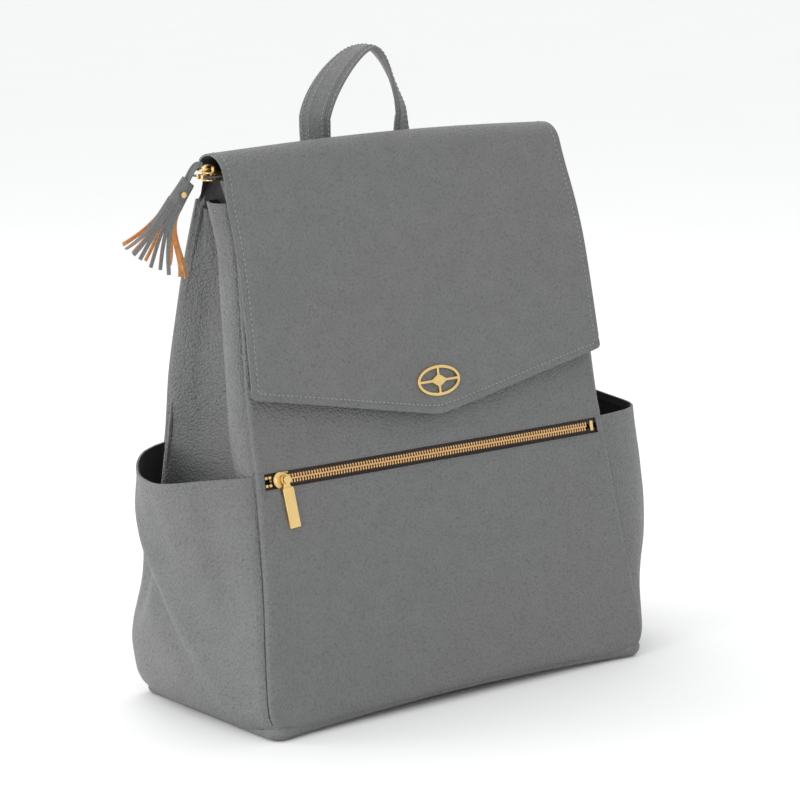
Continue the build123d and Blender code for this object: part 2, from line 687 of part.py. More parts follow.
def tassel_rivet():
    dx, dz = tassel_direction()
    x = TASSEL_CAP_TOP[0] + 0.45 * (TASSEL_CAP_END[0] - TASSEL_CAP_TOP[0])
    z = TASSEL_CAP_TOP[1] + 0.45 * (TASSEL_CAP_END[1] - TASSEL_CAP_TOP[1])
    plane = Plane(origin=(x + 3 * dx, MOUTH_Y, z + 3 * dz), x_dir=(dx, 0, dz), z_dir=(0, -1, 0))
    return plane * (Pos(0, 0, TASSEL_CAP_RADIUS + 0.1) * extrude(Circle(2.2), 1.0))


def tassel_fringe():
    dx, dz = tassel_direction()
    start = (TASSEL_CAP_END[0] + 4.0 * dx, TASSEL_CAP_END[1] + 4.0 * dz)
    neck = tassel_plane(start) * Rectangle(*TASSEL_NECK)
    tips = tassel_plane(TASSEL_TIPS)
    half_long, half_short = TASSEL_FRINGE_HALF
    return lofted([neck, tips * Rectangle(2 * half_short, 2 * half_long)])


# ---------------------------------------------------------------- write every sub-part
save("base_panel", base_panel())
save("base_board", base_board())
save("front_panel", front_panel())
save("back_panel", back_panel())
save("back_foam", back_foam())
save_pair("gusset", gusset())
save_pair("side_pocket", side_pocket())
save("main_lining", main_lining())
save("slip_pocket", slip_pocket())
save("mouth_facing_front", mouth_facing(FRONT_PROFILE, -1))
save("mouth_facing_back", mouth_facing(BACK_PROFILE, 1))

save_zip("front_zip", front_zip_plane(), FRONT_TAPE_X, FRONT_SLIDER_X, ("lower", "upper"), 2)
save("front_zip_slider", front_zip_slider())
save("front_zip_pull", front_zip_pull())
save("front_pocket_bag", front_pocket_bag())

save_zip("mouth_zip", mouth_plane(), MOUTH_X, MOUTH_SLIDER_X, ("front", "back"), 1)
save("mouth_zip_slider", mouth_zip_slider())
save("tassel_ring", tassel_ring())
save("tassel_loop", tassel_loop())
save("tassel_cap", tassel_cap())
save("tassel_rivet", tassel_rivet())
save("tassel_fringe", tassel_fringe())

LINING_OFFSET = FLAP_LEATHER + 0.1
save("flap_root", flap_root())
save("flap_crown", crown_band(CROWN_RADIUS, FLAP_LEATHER, CROWN_START, CROWN_END))
save("flap_crown_lining",
     crown_band(CROWN_RADIUS - LINING_OFFSET, FLAP_LINING, CROWN_START, CROWN_END))
save("flap_front", flap_front(0, -FLAP_LEATHER))
save("flap_front_lining", flap_front(-LINING_OFFSET, -LINING_OFFSET - FLAP_LINING))
save("flap_ornament", ornament())
save("ornament_washers", ornament_washers())
save("snap_male", snap_male())
save("snap_female", snap_female())

save("grab_handle", grab_handle())
save("handle_patch", handle_patch())
save_pair("strap_pad", strap_pad())
save_pair("strap_webbing", strap_webbing())
save_pair("strap_adjuster", strap_adjuster())
save_pair("strap_tab", strap_tab())
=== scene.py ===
"""Looks of the diaper bag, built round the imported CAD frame. Helpers work in millimetres and write metres."""
import bisect
import math
import random

import bmesh
import bpy
from mathutils import Matrix, Quaternion, Vector, noise


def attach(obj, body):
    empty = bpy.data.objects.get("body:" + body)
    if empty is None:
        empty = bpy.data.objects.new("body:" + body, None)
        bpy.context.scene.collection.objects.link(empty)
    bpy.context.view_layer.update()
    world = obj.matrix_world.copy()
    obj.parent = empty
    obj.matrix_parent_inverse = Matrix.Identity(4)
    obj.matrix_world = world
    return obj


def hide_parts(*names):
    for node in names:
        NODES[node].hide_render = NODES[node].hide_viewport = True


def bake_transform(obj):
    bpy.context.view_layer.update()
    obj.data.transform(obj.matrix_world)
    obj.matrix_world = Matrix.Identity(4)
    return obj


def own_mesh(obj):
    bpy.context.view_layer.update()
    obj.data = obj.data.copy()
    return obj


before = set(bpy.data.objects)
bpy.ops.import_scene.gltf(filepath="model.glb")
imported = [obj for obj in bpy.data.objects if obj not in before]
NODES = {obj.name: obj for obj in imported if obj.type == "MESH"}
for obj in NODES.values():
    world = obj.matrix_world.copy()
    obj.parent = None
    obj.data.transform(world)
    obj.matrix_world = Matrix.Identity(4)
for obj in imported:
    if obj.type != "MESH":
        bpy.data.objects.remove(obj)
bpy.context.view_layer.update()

MM = 0.001

# ---------------------------------------------------------------- camera
AZIMUTH, ELEVATION, ROLL = math.radians(-37.1), math.radians(10.7), math.radians(-1.1)
DISTANCE = 2160.5
TARGET = Vector((6.5, 0.0, 217.3))
SENSOR = 36.0
FOCAL = 3.5 * SENSOR


def make_camera():
    data = bpy.data.cameras.new("camera")
    data.sensor_width, data.lens = SENSOR, FOCAL
    data.clip_start, data.clip_end = 0.05, 40.0
    camera = bpy.data.objects.new("camera", data)
    back = Vector((math.sin(AZIMUTH) * math.cos(ELEVATION),
                   -math.cos(AZIMUTH) * math.cos(ELEVATION), math.sin(ELEVATION)))
    right = Vector((math.cos(AZIMUTH), math.sin(AZIMUTH), 0.0))
    up = back.cross(right)
    tilted = math.cos(ROLL) * right + math.sin(ROLL) * up
    upright = math.cos(ROLL) * up - math.sin(ROLL) * right
    place = Matrix((tilted, upright, back)).transposed().to_4x4()
    place.translation = (TARGET + back * DISTANCE) * MM
    camera.matrix_world = place
    bpy.context.scene.collection.objects.link(camera)
    bpy.context.scene.camera = camera


make_camera()


# ---------------------------------------------------------------- materials
class Shade:
    """A Principled material with a few node helpers. Coordinates are the object's, in metres."""

    def __init__(self, name, roughness=0.5, metallic=0.0, **sockets):
        self.material = bpy.data.materials.new(name)
        self.material.use_nodes = True
        self.tree = self.material.node_tree
        self.bsdf = self.tree.nodes["Principled BSDF"]
        self.bsdf.inputs["Roughness"].default_value = roughness
        self.bsdf.inputs["Metallic"].default_value = metallic
        for socket, value in sockets.items():
            self.bsdf.inputs[socket.replace("_", " ")].default_value = value
        self.place = self.add("TexCoord").outputs["Object"]

    def add(self, kind, inputs=None, **settings):
        node = self.tree.nodes.new("ShaderNode" + kind)
        for key, value in settings.items():
            setattr(node, key, value)
        for key, value in (inputs or {}).items():
            if isinstance(value, bpy.types.NodeSocket):
                self.tree.links.new(value, node.inputs[key])
            else:
                node.inputs[key].default_value = value
        return node

    def link(self, output, socket):
        self.tree.links.new(output, self.bsdf.inputs[socket])

    def noise(self, scale, detail=2.0, place=None):
        return self.add("TexNoise", {"Vector": place or self.place, "Scale": scale,
                                     "Detail": detail}).outputs["Fac"]

    def cells(self, scale, place=None, smooth=0.35):
        return self.add("TexVoronoi", {"Vector": place or self.place, "Scale": scale,
                                       "Smoothness": smooth}, feature="SMOOTH_F1").outputs["Distance"]

    def remap(self, value, low, high, to_low, to_high):
        return self.add("MapRange", {"Value": value, "From Min": low, "From Max": high,
                                     "To Min": to_low, "To Max": to_high}).outputs["Result"]

    def math(self, operation, a, b):
        return self.add("Math", {0: a, 1: b}, operation=operation).outputs[0]

    def mix(self, factor, a, b, blend="MIX"):
        node = self.add("Mix", data_type="RGBA", blend_type=blend)
        colours = [s for s in node.inputs if s.type == "RGBA"]
        for socket, value in zip((node.inputs["Factor"], *colours), (factor, a, b)):
            if isinstance(value, bpy.types.NodeSocket):
                self.tree.links.new(value, socket)
            elif isinstance(value, tuple):
                socket.default_value = (*value, 1.0)
            else:
                socket.default_value = value
        return [s for s in node.outputs if s.type == "RGBA"][0]

    def bump(self, height, depth, strength=1.0):
        node = self.add("Bump", {"Height": height, "Distance": depth * MM, "Strength": strength})
        self.link(node.outputs["Normal"], "Normal")
        return node

    def stretched(self, x, y, z):
        return self.add("Mapping", {"Vector": self.place, "Scale": (x, y, z)}).outputs["Vector"]


def leather(name, base, grain=1.0, depth=0.95):
    """Pebbled leather: raised grains in dark valleys, slow colour drift, and rubbed edges."""
    s = Shade(name, roughness=0.45, Sheen_Weight=0.05, Sheen_Roughness=0.5, Specular_IOR_Level=0.5)
    drift = s.noise(60.0, 3.0)
    warped = s.mix(0.0009, s.place, s.add("TexNoise", {"Vector": s.place, "Scale": 420.0,
                                                       "Detail": 1.0}).outputs["Color"], "ADD")
    pebble = s.cells(560.0 / grain, warped)
    fine = s.cells(1300.0 / grain, warped, 0.2)
    height = s.math("ADD", s.math("MULTIPLY", pebble, -1.0), s.math("MULTIPLY", fine, -0.4))
    s.bump(height, depth, 0.85)
    tone = s.mix(s.remap(drift, 0.3, 0.7, 0.0, 1.0), tuple(c * 0.93 for c in base),
                 tuple(c * 1.07 for c in base))
    tone = s.mix(s.remap(s.noise(7.0, 2.0), 0.3, 0.7, 0.0, 0.35), tone,
                 (base[0] * 1.05, base[1] * 1.0, base[2] * 0.95))
    valley = s.remap(pebble, 0.45, 0.95, 0.0, 0.5)
    tone = s.mix(valley, tone, tuple(c * 0.55 for c in base))
    worn = s.remap(s.add("NewGeometry").outputs["Pointiness"], 0.53, 0.62, 0.0, 0.3)
    tone = s.mix(worn, tone, tuple(min(1.0, c * 1.6) for c in base))
    s.link(tone, "Base Color")
    rough = s.math("ADD", s.remap(drift, 0.3, 0.7, 0.36, 0.44), s.remap(pebble, 0.3, 0.9, 0.0, 0.2))
    s.link(rough, "Roughness")
    return s.material


def cloth(name, dark, light, threads=1250.0, depth=0.12, sheen=0.08):
    """Plain weave: two crossing sets of threads, with slubs and slight fading."""
    s = Shade(name, roughness=0.85, Sheen_Weight=sheen, Sheen_Roughness=0.45)
    waves = [s.add("TexWave", {"Vector": s.place, "Scale": threads / 4.0, "Distortion": 0.6,
                               "Detail": 1.0, "Detail Scale": 2.0},
                   bands_direction=d).outputs["Fac"] for d in ("X", "Z")]
    woven = s.math("MAXIMUM", *waves)
    s.bump(woven, depth, 0.7)
    slub = s.noise(240.0, 3.0)
    tone = s.mix(s.remap(woven, 0.2, 1.0, 0.0, 1.0), dark, light)
    tone = s.mix(s.remap(slub, 0.35, 0.65, 0.0, 0.35), tone, tuple(c * 1.4 for c in light))
    s.link(tone, "Base Color")
    s.link(s.remap(slub, 0.3, 0.7, 0.78, 0.92), "Roughness")
    return s.material


def metal(name, colour, roughness, scratch=0.1):
    """Plated metal with fine brushing, slight tarnish in the hollows and handling marks."""
    s = Shade(name, roughness=roughness, metallic=1.0)
    brushed = s.noise(900.0, 2.0, s.stretched(1.0, 1.0, 0.06))
    smear = s.noise(130.0, 3.0)
    tone = s.mix(s.remap(smear, 0.35, 0.7, 0.0, 0.5), colour, tuple(c * 0.84 for c in colour))
    hollow = s.remap(s.add("NewGeometry").outputs["Pointiness"], 0.42, 0.5, 0.5, 0.0)
    tone = s.mix(hollow, tone, tuple(c * 0.45 for c in colour))
    s.link(tone, "Base Color")
    s.link(s.math("ADD", s.remap(brushed, 0.3, 0.7, roughness - 0.05, roughness + 0.06),
                  s.remap(smear, 0.4, 0.7, 0.0, 0.08)), "Roughness")
    s.bump(brushed, scratch * 0.1, 0.4)
    return s.material


def suede(name, base):
    s = Shade(name, roughness=0.9, Sheen_Weight=0.5, Sheen_Roughness=0.4)
    nap = s.noise(1400.0, 4.0)
    tone = s.mix(s.remap(nap, 0.3, 0.7, 0.0, 1.0), tuple(c * 0.6 for c in base), base)
    tone = s.mix(s.remap(s.noise(160.0, 2.0), 0.4, 0.65, 0.0, 0.5), tone,
                 tuple(min(1.0, c * 1.3) for c in base))
    s.link(tone, "Base Color")
    s.bump(nap, 0.25, 0.6)
    return s.material


def strand(name, base):
    """Sewing thread: twisted, slightly glossy."""
    s = Shade(name, roughness=0.55, Sheen_Weight=0.3)
    twist = s.add("TexWave", {"Vector": s.place, "Scale": 500.0}, bands_direction="DIAGONAL")
    s.link(s.mix(twist.outputs["Fac"], tuple(c * 0.75 for c in base), base), "Base Color")
    s.bump(twist.outputs["Fac"], 0.08, 0.6)
    return s.material


def ribbed(name, dark, light, rib=1.6):
    """Woven tape or webbing: close ribs across it and a herringbone of threads."""
    s = Shade(name, roughness=0.75, Sheen_Weight=0.15, Sheen_Roughness=0.5)
    across = s.add("TexWave", {"Vector": s.place, "Scale": 157.0 / rib, "Distortion": 0.8,
                               "Detail": 1.0}, bands_direction="X").outputs["Fac"]
    along = s.add("TexWave", {"Vector": s.place, "Scale": 260.0 / rib, "Distortion": 0.4,
                              "Detail": 1.0}, bands_direction="DIAGONAL").outputs["Fac"]
    height = s.math("ADD", across, s.math("MULTIPLY", along, 0.6))
    s.bump(height, 0.18, 0.8)
    tone = s.mix(s.remap(height, 0.3, 1.4, 0.0, 1.0), dark, light)
    tone = s.mix(s.remap(s.noise(300.0, 2.0), 0.4, 0.7, 0.0, 0.4), tone, tuple(c * 1.3 for c in light))
    s.link(tone, "Base Color")
    return s.material


def board(name, base):
    s = Shade(name, roughness=0.7)
    fibre = s.noise(500.0, 4.0, s.stretched(0.3, 1.0, 1.0))
    s.link(s.mix(fibre, tuple(c * 0.6 for c in base), base), "Base Color")
    s.bump(fibre, 0.1, 0.5)
    return s.material


GREY = (0.140, 0.143, 0.143)
LEATHER = leather("grey_leather", GREY)
LEATHER_FINE = leather("grey_leather_fine", tuple(c * 1.02 for c in GREY), grain=0.8, depth=0.7)
LINING = cloth("black_lining", (0.003, 0.003, 0.0035), (0.010, 0.010, 0.011))
TAPE = ribbed("zip_tape", (0.010, 0.005, 0.004), (0.032, 0.016, 0.012))
TEETH = metal("gold_teeth", (0.80, 0.53, 0.26), 0.26)
GOLD = metal("light_gold", (0.82, 0.59, 0.25), 0.3)
BOARD = board("board", (0.045, 0.043, 0.04))
FOAM = cloth("foam_cover", (0.05, 0.05, 0.052), (0.12, 0.12, 0.125), 900.0)
SUEDE = suede("tan_suede", (0.62, 0.27, 0.09))
WEBBING = ribbed("webbing", (0.055, 0.058, 0.06), (0.13, 0.135, 0.138), rib=1.2)
THREAD = strand("thread", (0.27, 0.275, 0.27))
THREAD_GREY = strand("thread_grey", (0.19, 0.192, 0.19))


# ---------------------------------------------------------------- profiles shared with the CAD
def smooth(table, t):
    """Value at t of a smooth curve through (t, value) pairs."""
    keys = [row[0] for row in table]
    t = min(max(t, keys[0]), keys[-1])
    i = min(max(bisect.bisect_right(keys, t) - 1, 0), len(table) - 2)

    def slope(k):
        a, b = max(k - 1, 0), min(k + 1, len(table) - 1)
        return (table[b][1] - table[a][1]) / (table[b][0] - table[a][0])

    (t0, v0), (t1, v1) = table[i], table[i + 1]
    h = t1 - t0
    s = (t - t0) / h
    return (v0 * (1 + 2 * s) * (1 - s) ** 2 + v1 * s * s * (3 - 2 * s)
            + slope(i) * h * s * (1 - s) ** 2 - slope(i + 1) * h * s * s * (1 - s))


FRONT = [(4, -89.0), (60, -79.6), (120, -68.2), (180, -56.3), (240, -45.0), (300, -37.8),
         (350, -30.6), (385, -18.5), (401, -10.0)]
BACK = [(4, 90.0), (70, 92.0), (140, 82.5), (220, 69.0), (320, 46.0), (403, 20.0)]
HALF = [(4, 176.5), (20, 180.0), (60, 177.2), (100, 172.4), (140, 168.9), (180, 166.0),
        (220, 165.0), (260, 164.2), (403, 158.4)]
FLAP = [(214, -60.8), (231, -57.8), (241, -56.1), (250, -54.6), (290, -47.7), (330, -40.4),
        (350, -35.2), (370, -28.4), (390, -20.4), (401, -15.8), (407.7, -12.8)]
FRONT_ZIP_Z, SLOT_HALF, SLOT_LEFT, SLOT_RIGHT = 185.2, 5.9, -158.4, 160.0
ZIP_SLOPE = math.atan2(44.5, 236.0)
CROWN = Vector((5.5, 399.6))
CROWN_RADIUS = 20.0


def front_y(z):
    return smooth(FRONT, z)


def back_y(z):
    return smooth(BACK, z)


def half_width(z):
    return smooth(HALF, z)


def bell(x, centre, width):
    return math.exp(-((x - centre) / width) ** 2)


def rounded(distance, radius):
    """How far a turned edge falls away, a distance in from it."""
    d = min(max(distance, 0.0), radius)
    return radius - math.sqrt(max(0.0, radius * radius - (radius - d) ** 2))


def spread(marks, step):
    """The marks, with even lines between them no further apart than step."""
    lines = [marks[0]]
    for a, b in zip(marks, marks[1:]):
        count = max(1, math.ceil((b - a) / step - 1e-6))
        lines += [a + (b - a) * k / count for k in range(1, count + 1)]
    return lines


def ripple(x, y, z, size, amount, seed=0.0):
    return amount * noise.noise(Vector((x / size + seed, y / size, z / size + 3.7 * seed)))


# ---------------------------------------------------------------- mesh helpers
def settle(name, bm, materials, modifiers=(), sharp=40.0):
    """Makes an object of a bmesh in metres, applies modifiers to it, and shades it."""
    mesh = bpy.data.meshes.new(name)
    bm.to_mesh(mesh)
    bm.free()
    for material in materials:
        mesh.materials.append(material)
    piece = bpy.data.objects.new(name, mesh)
    bpy.context.scene.collection.objects.link(piece)
    for kind, settings in modifiers:
        modifier = piece.modifiers.new(kind.lower(), kind)
        for key, value in settings.items():
            setattr(modifier, key, value)
    if modifiers:
        graph = bpy.context.evaluated_depsgraph_get()
        final = bpy.data.meshes.new_from_object(piece.evaluated_get(graph))
        piece.modifiers.clear()
        piece.data = final
        final.name = name
    piece.data.polygons.foreach_set("use_smooth", [True] * len(piece.data.polygons))
    piece.data.set_sharp_from_angle(angle=math.radians(sharp))
    return piece


def bevel(width, segments=2, angle=50.0):
    return ("BEVEL", {"width": width * MM, "segments": segments, "limit_method": "ANGLE",
                      "angle_limit": math.radians(angle), "use_clamp_overlap": True})


def skin(name, us, vs, point, thickness, materials, out, hole=None, edge=0.35):
    """A sheet of material: outer face on point(u, v), thickened inwards, with softened edges."""
    bm = bmesh.new()
    grid = [[bm.verts.new(Vector(point(u, v)) * MM) for u in us] for v in vs]
    for j in range(len(vs) - 1):
        for i in range(len(us) - 1):
            if hole and hole((us[i] + us[i + 1]) / 2, (vs[j] + vs[j + 1]) / 2):
                continue
            bm.faces.new((grid[j][i], grid[j][i + 1], grid[j + 1][i + 1], grid[j + 1][i]))
    bmesh.ops.delete(bm, geom=[v for v in bm.verts if not v.link_faces], context="VERTS")
    bm.normal_update()
    facing = sum((f.normal * f.calc_area() for f in bm.faces), Vector())
    if facing.dot(Vector(out)) < 0:
        bmesh.ops.reverse_faces(bm, faces=bm.faces)
    solid = {"thickness": thickness * MM, "offset": -1.0, "use_even_offset": True,
             "material_offset": len(materials) - 1}
    modifiers = [("SOLIDIFY", solid)]
    if edge:
        modifiers.append(bevel(edge))
    return settle(name, bm, materials, modifiers)


def tube(name, rings, materials, caps=True, modifiers=(), sharp=40.0, shade=None):
    """Joins closed rings of points, in millimetres, into one solid."""
    bm = bmesh.new()
    loops = [[bm.verts.new(Vector(p) * MM) for p in ring] for ring in rings]
    count = len(rings[0])
    for a, b in zip(loops, loops[1:]):
        for i in range(count):
            k = (i + 1) % count
            face = bm.faces.new((a[i], a[k], b[k], b[i]))
            if shade:
                face.material_index = shade(i)
    if caps:
        bm.faces.new(loops[0][::-1])
        bm.faces.new(loops[-1])
    bmesh.ops.recalc_face_normals(bm, faces=bm.faces)
    return settle(name, bm, materials, modifiers, sharp)


def prism(bm, outline, low, high, frame_matrix):
    """Adds an extruded outline, in millimetres, placed by a matrix."""
    rings = [[bm.verts.new((frame_matrix @ Vector((x, y, h))) * MM) for x, y in outline]
             for h in (low, high)]
    count = len(outline)
    for i in range(count):
        k = (i + 1) % count
        bm.faces.new((rings[0][i], rings[0][k], rings[1][k], rings[1][i]))
    bm.faces.new(rings[0][::-1])
    bm.faces.new(rings[1])


def normal_at(point, u, v, out, step):
    du = Vector(point(u + step[0], v)) - Vector(point(u - step[0], v))
    dv = Vector(point(u, v + step[1])) - Vector(point(u, v - step[1]))
    n = du.cross(dv)
    if n.length < 1e-9:
        return Vector(out).normalized()
    n.normalize()
    return n if n.dot(Vector(out)) >= 0 else -n


def lay_path(point, pairs, out, lift, step=(0.002, 0.3)):
    """Points lifted off a surface along (u, v) pairs, each with its normal."""
    path = []
    for u, v in pairs:
        n = normal_at(point, u, v, out, step)
        path.append((Vector(point(u, v)) + n * lift, n))
    return path


STITCH_SIDES = 6
# Share of the stitch's length, thickness as a share of its radius, and rise in radii.
STITCH_RINGS = ((0.0, 0.35, -0.9), (0.16, 0.95, -0.05), (0.5, 1.1, 0.15),
                (0.84, 0.95, -0.05), (1.0, 0.35, -0.9))


def stitches(name, paths, material=None, pitch=3.9, length=2.5, radius=0.48):
    """Single stitches of thread along one or more paths of (point, normal)."""
    bm = bmesh.new()
    sides = STITCH_SIDES
    for path in paths:
        reach = [0.0]
        for (a, _), (b, _) in zip(path, path[1:]):
            reach.append(reach[-1] + (b - a).length)
        total = reach[-1]
        count = max(1, int(total / pitch))
        gap = total / count

        def at(distance):
            i = min(max(bisect.bisect_right(reach, distance) - 1, 0), len(path) - 2)
            share = (distance - reach[i]) / max(reach[i + 1] - reach[i], 1e-9)
            return (path[i][0].lerp(path[i + 1][0], share), path[i][1].lerp(path[i + 1][1], share))

        for k in range(count):
            start, n0 = at(k * gap + (gap - length) / 2)
            stop, _ = at(k * gap + (gap + length) / 2)
            along = (stop - start).normalized()
            side = along.cross(n0).normalized()
            n = side.cross(along)
            loops = []
            for share, size, rise in STITCH_RINGS:
                centre = start.lerp(stop, share) + n * rise * radius
                loops.append([bm.verts.new((centre + (side * math.cos(math.tau * q / sides)
                              + n * 0.8 * math.sin(math.tau * q / sides)) * radius * size) * MM)
                              for q in range(sides)])
            for a, b in zip(loops, loops[1:]):
                for q in range(sides):
                    w = (q + 1) % sides
                    bm.faces.new((a[q], a[w], b[w], b[q]))
            bm.faces.new(loops[0][::-1])
            bm.faces.new(loops[-1])
    bmesh.ops.recalc_face_normals(bm, faces=bm.faces)
    return settle(name, bm, [material or THREAD], sharp=60.0)


def place(piece, body, *nodes):
    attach(piece, body)
    if nodes:
        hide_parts(*nodes)
    return piece


# ---------------------------------------------------------------- front and back panels
EDGE_MARKS = [0.0, 0.8, 1.8, 3.2, 5.0, 7.0, 10.0]
FRONT_BOTTOM = 3.0
CORNER = 18.0


def bottom_bow(x):
    """The front bottom edge rises a little off the floor between the corners."""
    return 6.5 * math.cos(math.pi * min(1.0, abs(x) / 172.0) / 2) ** 0.8


def corner_in(z, bottom):
    return rounded(z - bottom, CORNER)


def front_point(c, z):
    """c runs from -1 to 1 across the panel, and z is the height before the bottom's bow."""
    low = FRONT_BOTTOM
    width = half_width(z) - corner_in(z, low)
    x = c * width
    edge = width - abs(x)
    puff = 2.2 * math.cos(c * math.pi / 2) ** 0.7 * (bell(z, 90.0, 75.0) + 0.5 * bell(z, 300.0, 60.0))
    y = front_y(z) - puff
    y += rounded(edge, 4.5) * 0.7 + rounded(z - low, 9.0) * 0.8
    across = max(SLOT_LEFT - x, x - SLOT_RIGHT, 0.0)
    up = max(abs(z - FRONT_ZIP_Z) - SLOT_HALF * 0.985, 0.0)
    slot = math.hypot(across, up)
    y += 1.3 * math.exp(-(slot / 1.5) ** 2) + 0.5 * bell(slot, 3.0, 0.8)
    y -= 0.5 * bell(slot, 7.5, 2.5)
    y += ripple(x, 0, z, 95.0, 1.3, 2.1) + ripple(x, 0, z, 38.0, 0.35, 5.3)
    return x, y, z + bottom_bow(x) * max(0.0, 1.0 - (z - low) / 60.0)


def build_front():
    width = half_width(FRONT_ZIP_Z)
    left, right = SLOT_LEFT / width, SLOT_RIGHT / width
    near = [0.8 / width, 1.7 / width, 3.0 / width, 4.6 / width]
    marks = [-1 + d / width for d in EDGE_MARKS[:4]] + [left - near[2], left - near[0], left, left + near[1]]
    marks += [right - near[1], right, right + near[0], right + near[1]]
    marks += [1 - d / width for d in EDGE_MARKS[:3][::-1]]
    us = spread(sorted(set(round(m, 6) for m in marks)), 5.0 / width)
    slot_low, slot_high = FRONT_ZIP_Z - SLOT_HALF * 0.985, FRONT_ZIP_Z + SLOT_HALF * 0.985
    steps = [0.8, 1.6, 2.3, 3.0, 3.8, 5.0, 7.5]
    marks = [FRONT_BOTTOM + d for d in (0, 0.8, 2, 3.5, 5.5, 8, 11, 15)]
    marks += [slot_low - d for d in steps[::-1]] + [slot_low, slot_high] + [slot_high + d for d in steps]
    marks += [397.0, 400.0, 401.0]
    vs = spread(marks, 5.0)

    def hole(c, z):
        return left < c < right and slot_low < z < slot_high

    piece = skin("front_leather", us, vs, front_point, 2.2, [LEATHER, LINING], (0, -1, 0), hole)
    place(piece, "shell", "front_panel")

    gap = 3.0
    low, high = slot_low - gap, slot_high + gap
    x0, x1 = (SLOT_LEFT - gap * 0.9) / width, (SLOT_RIGHT + gap * 0.85) / width
    corners = [(x0, low), (x1, low), (x1, high), (x0, high), (x0, low)]
    path = []
    for (ua, va), (ub, vb) in zip(corners, corners[1:]):
        count = max(2, int((abs(ub - ua) * width + abs(vb - va)) / 4))
        path.append(lay_path(front_point, [(ua + (ub - ua) * k / count, va + (vb - va) * k / count)
                                           for k in range(count + 1)], (0, -1, 0), 0.12))
    place(stitches("front_zip_stitching", path, THREAD_GREY, radius=0.3), "shell")


def top_taper(z):
    """The back panel's top corners and the flap's root draw in under the rolled top."""
    share = min(1.0, max(0.0, (z - 384.0) / 12.0))
    return 8.5 * share * share * (3 - 2 * share)


def back_point(c, z):
    width = half_width(z) - corner_in(z, FRONT_BOTTOM) - 2.6 - top_taper(z)
    x = c * width
    edge = width - abs(x)
    y = back_y(z) + 1.8 * math.cos(c * math.pi / 2) * bell(z, 210.0, 130.0)
    y -= rounded(edge, 7.0) * 0.8 + rounded(z - FRONT_BOTTOM, 9.0) * 0.7
    y += ripple(x, 1, z, 80.0, 1.2, 8.4)
    y -= 0.4 * bell(edge, 9.0, 1.0) + 0.4 * bell(z, 16.0 + FRONT_BOTTOM, 1.2)
    return x, y, z


def build_back():
    width = 170.0
    marks = [-1 + d / width for d in (0, 0.8, 1.8, 3.2, 5, 7.6, 9, 10.4)]
    us = spread(marks + [-m for m in marks[::-1]], 6.0 / width)
    vs = spread([FRONT_BOTTOM + d for d in (0, 0.8, 2, 3.5, 5.5, 8, 11, 14.5, 16, 17.5)] + [388.0,
                                                                                            402.0], 6.0)
    piece = skin("back_leather", us, vs, back_point, 2.2, [LEATHER, LINING], (0, 1, 0))
    place(piece, "shell", "back_panel")
    inset = 1 - 9.0 / width
    base_row = FRONT_BOTTOM + 16.0
    paths = [lay_path(back_point, [(side * inset, z) for z in spread([base_row, 384.0], 4.0)],
                      (0, 1, 0), 0.12) for side in (-1, 1)]
    paths.append(lay_path(back_point, [(c, base_row) for c in spread([-inset, inset], 0.03)],
                          (0, 1, 0), 0.12))
    place(stitches("back_stitching", paths), "shell")


# ---------------------------------------------------------------- base
BASE_WALL = 1.8


def build_base():
    """The base leather turns up round the bottom edge and meets the panels in a seam."""
    half_x, low_y, high_y, corner = 179.6, -89.0, 91.5, 13.0
    section = [(60.0, 1.1), (30.0, 0.3), (14.0, 0.0), (6.0, 0.1), (3.4, 0.5), (1.6, 1.3), (0.5, 2.6),
               (0.1, 4.0), (0.3, 5.0), (1.4, 5.8), (3.0, 6.1)]

    def ring(inset, height):
        points = []
        hx, ly, hy = half_x - inset, low_y + inset, high_y - inset
        r = max(corner - inset, 2.0)
        centres = [(hx - r, hy - r, 0), (-hx + r, hy - r, 90), (-hx + r, ly + r, 180), (hx - r, ly + r, 270)]
        for k, (cx, cy, start) in enumerate(centres):
            for a in range(0, 91, 9):
                angle = math.radians(start + a)
                points.append((cx + r * math.cos(angle), cy + r * math.sin(angle)))
            nx, ny, _ = centres[(k + 1) % 4]
            end = math.radians(start + 90)
            x0, y0 = cx + r * math.cos(end), cy + r * math.sin(end)
            x1, y1 = nx + r * math.cos(end), ny + r * math.sin(end)
            count = 24
            points += [(x0 + (x1 - x0) * k2 / count, y0 + (y1 - y0) * k2 / count) for k2 in range(1, count)]
        lifted = []
        for x, y in points:
            front = min(1.0, max(0.0, (-y - 30.0) / 50.0))
            at_corner = bell(abs(x), half_x - 4, 20.0) * bell(y, low_y + 2.0, 20.0)
            rise = bottom_bow(x) * front * front
            proud = 1.6 * at_corner * min(1.0, height / 3.0)
            hidden = 4.0 * front * (1.0 - bell(abs(x), half_x, 34.0)) * min(1.0, height / 1.5)
            lifted.append((x, y - proud + hidden, height * (1.0 + 0.9 * at_corner) + rise))
        return lifted

    outer = [ring(i, h) for i, h in section]
    inner = [[(x, y, z + BASE_WALL) for x, y, z in ring(i + BASE_WALL, h)] for i, h in section[::-1][2:]]
    piece = tube("base_leather", outer + inner, [LEATHER], sharp=50.0)
    place(piece, "shell", "base_panel")


# ---------------------------------------------------------------- gussets and side pockets
GUSSET_CLOSES_FROM, GUSSET_CLOSES_OVER = 300.0, 85.0


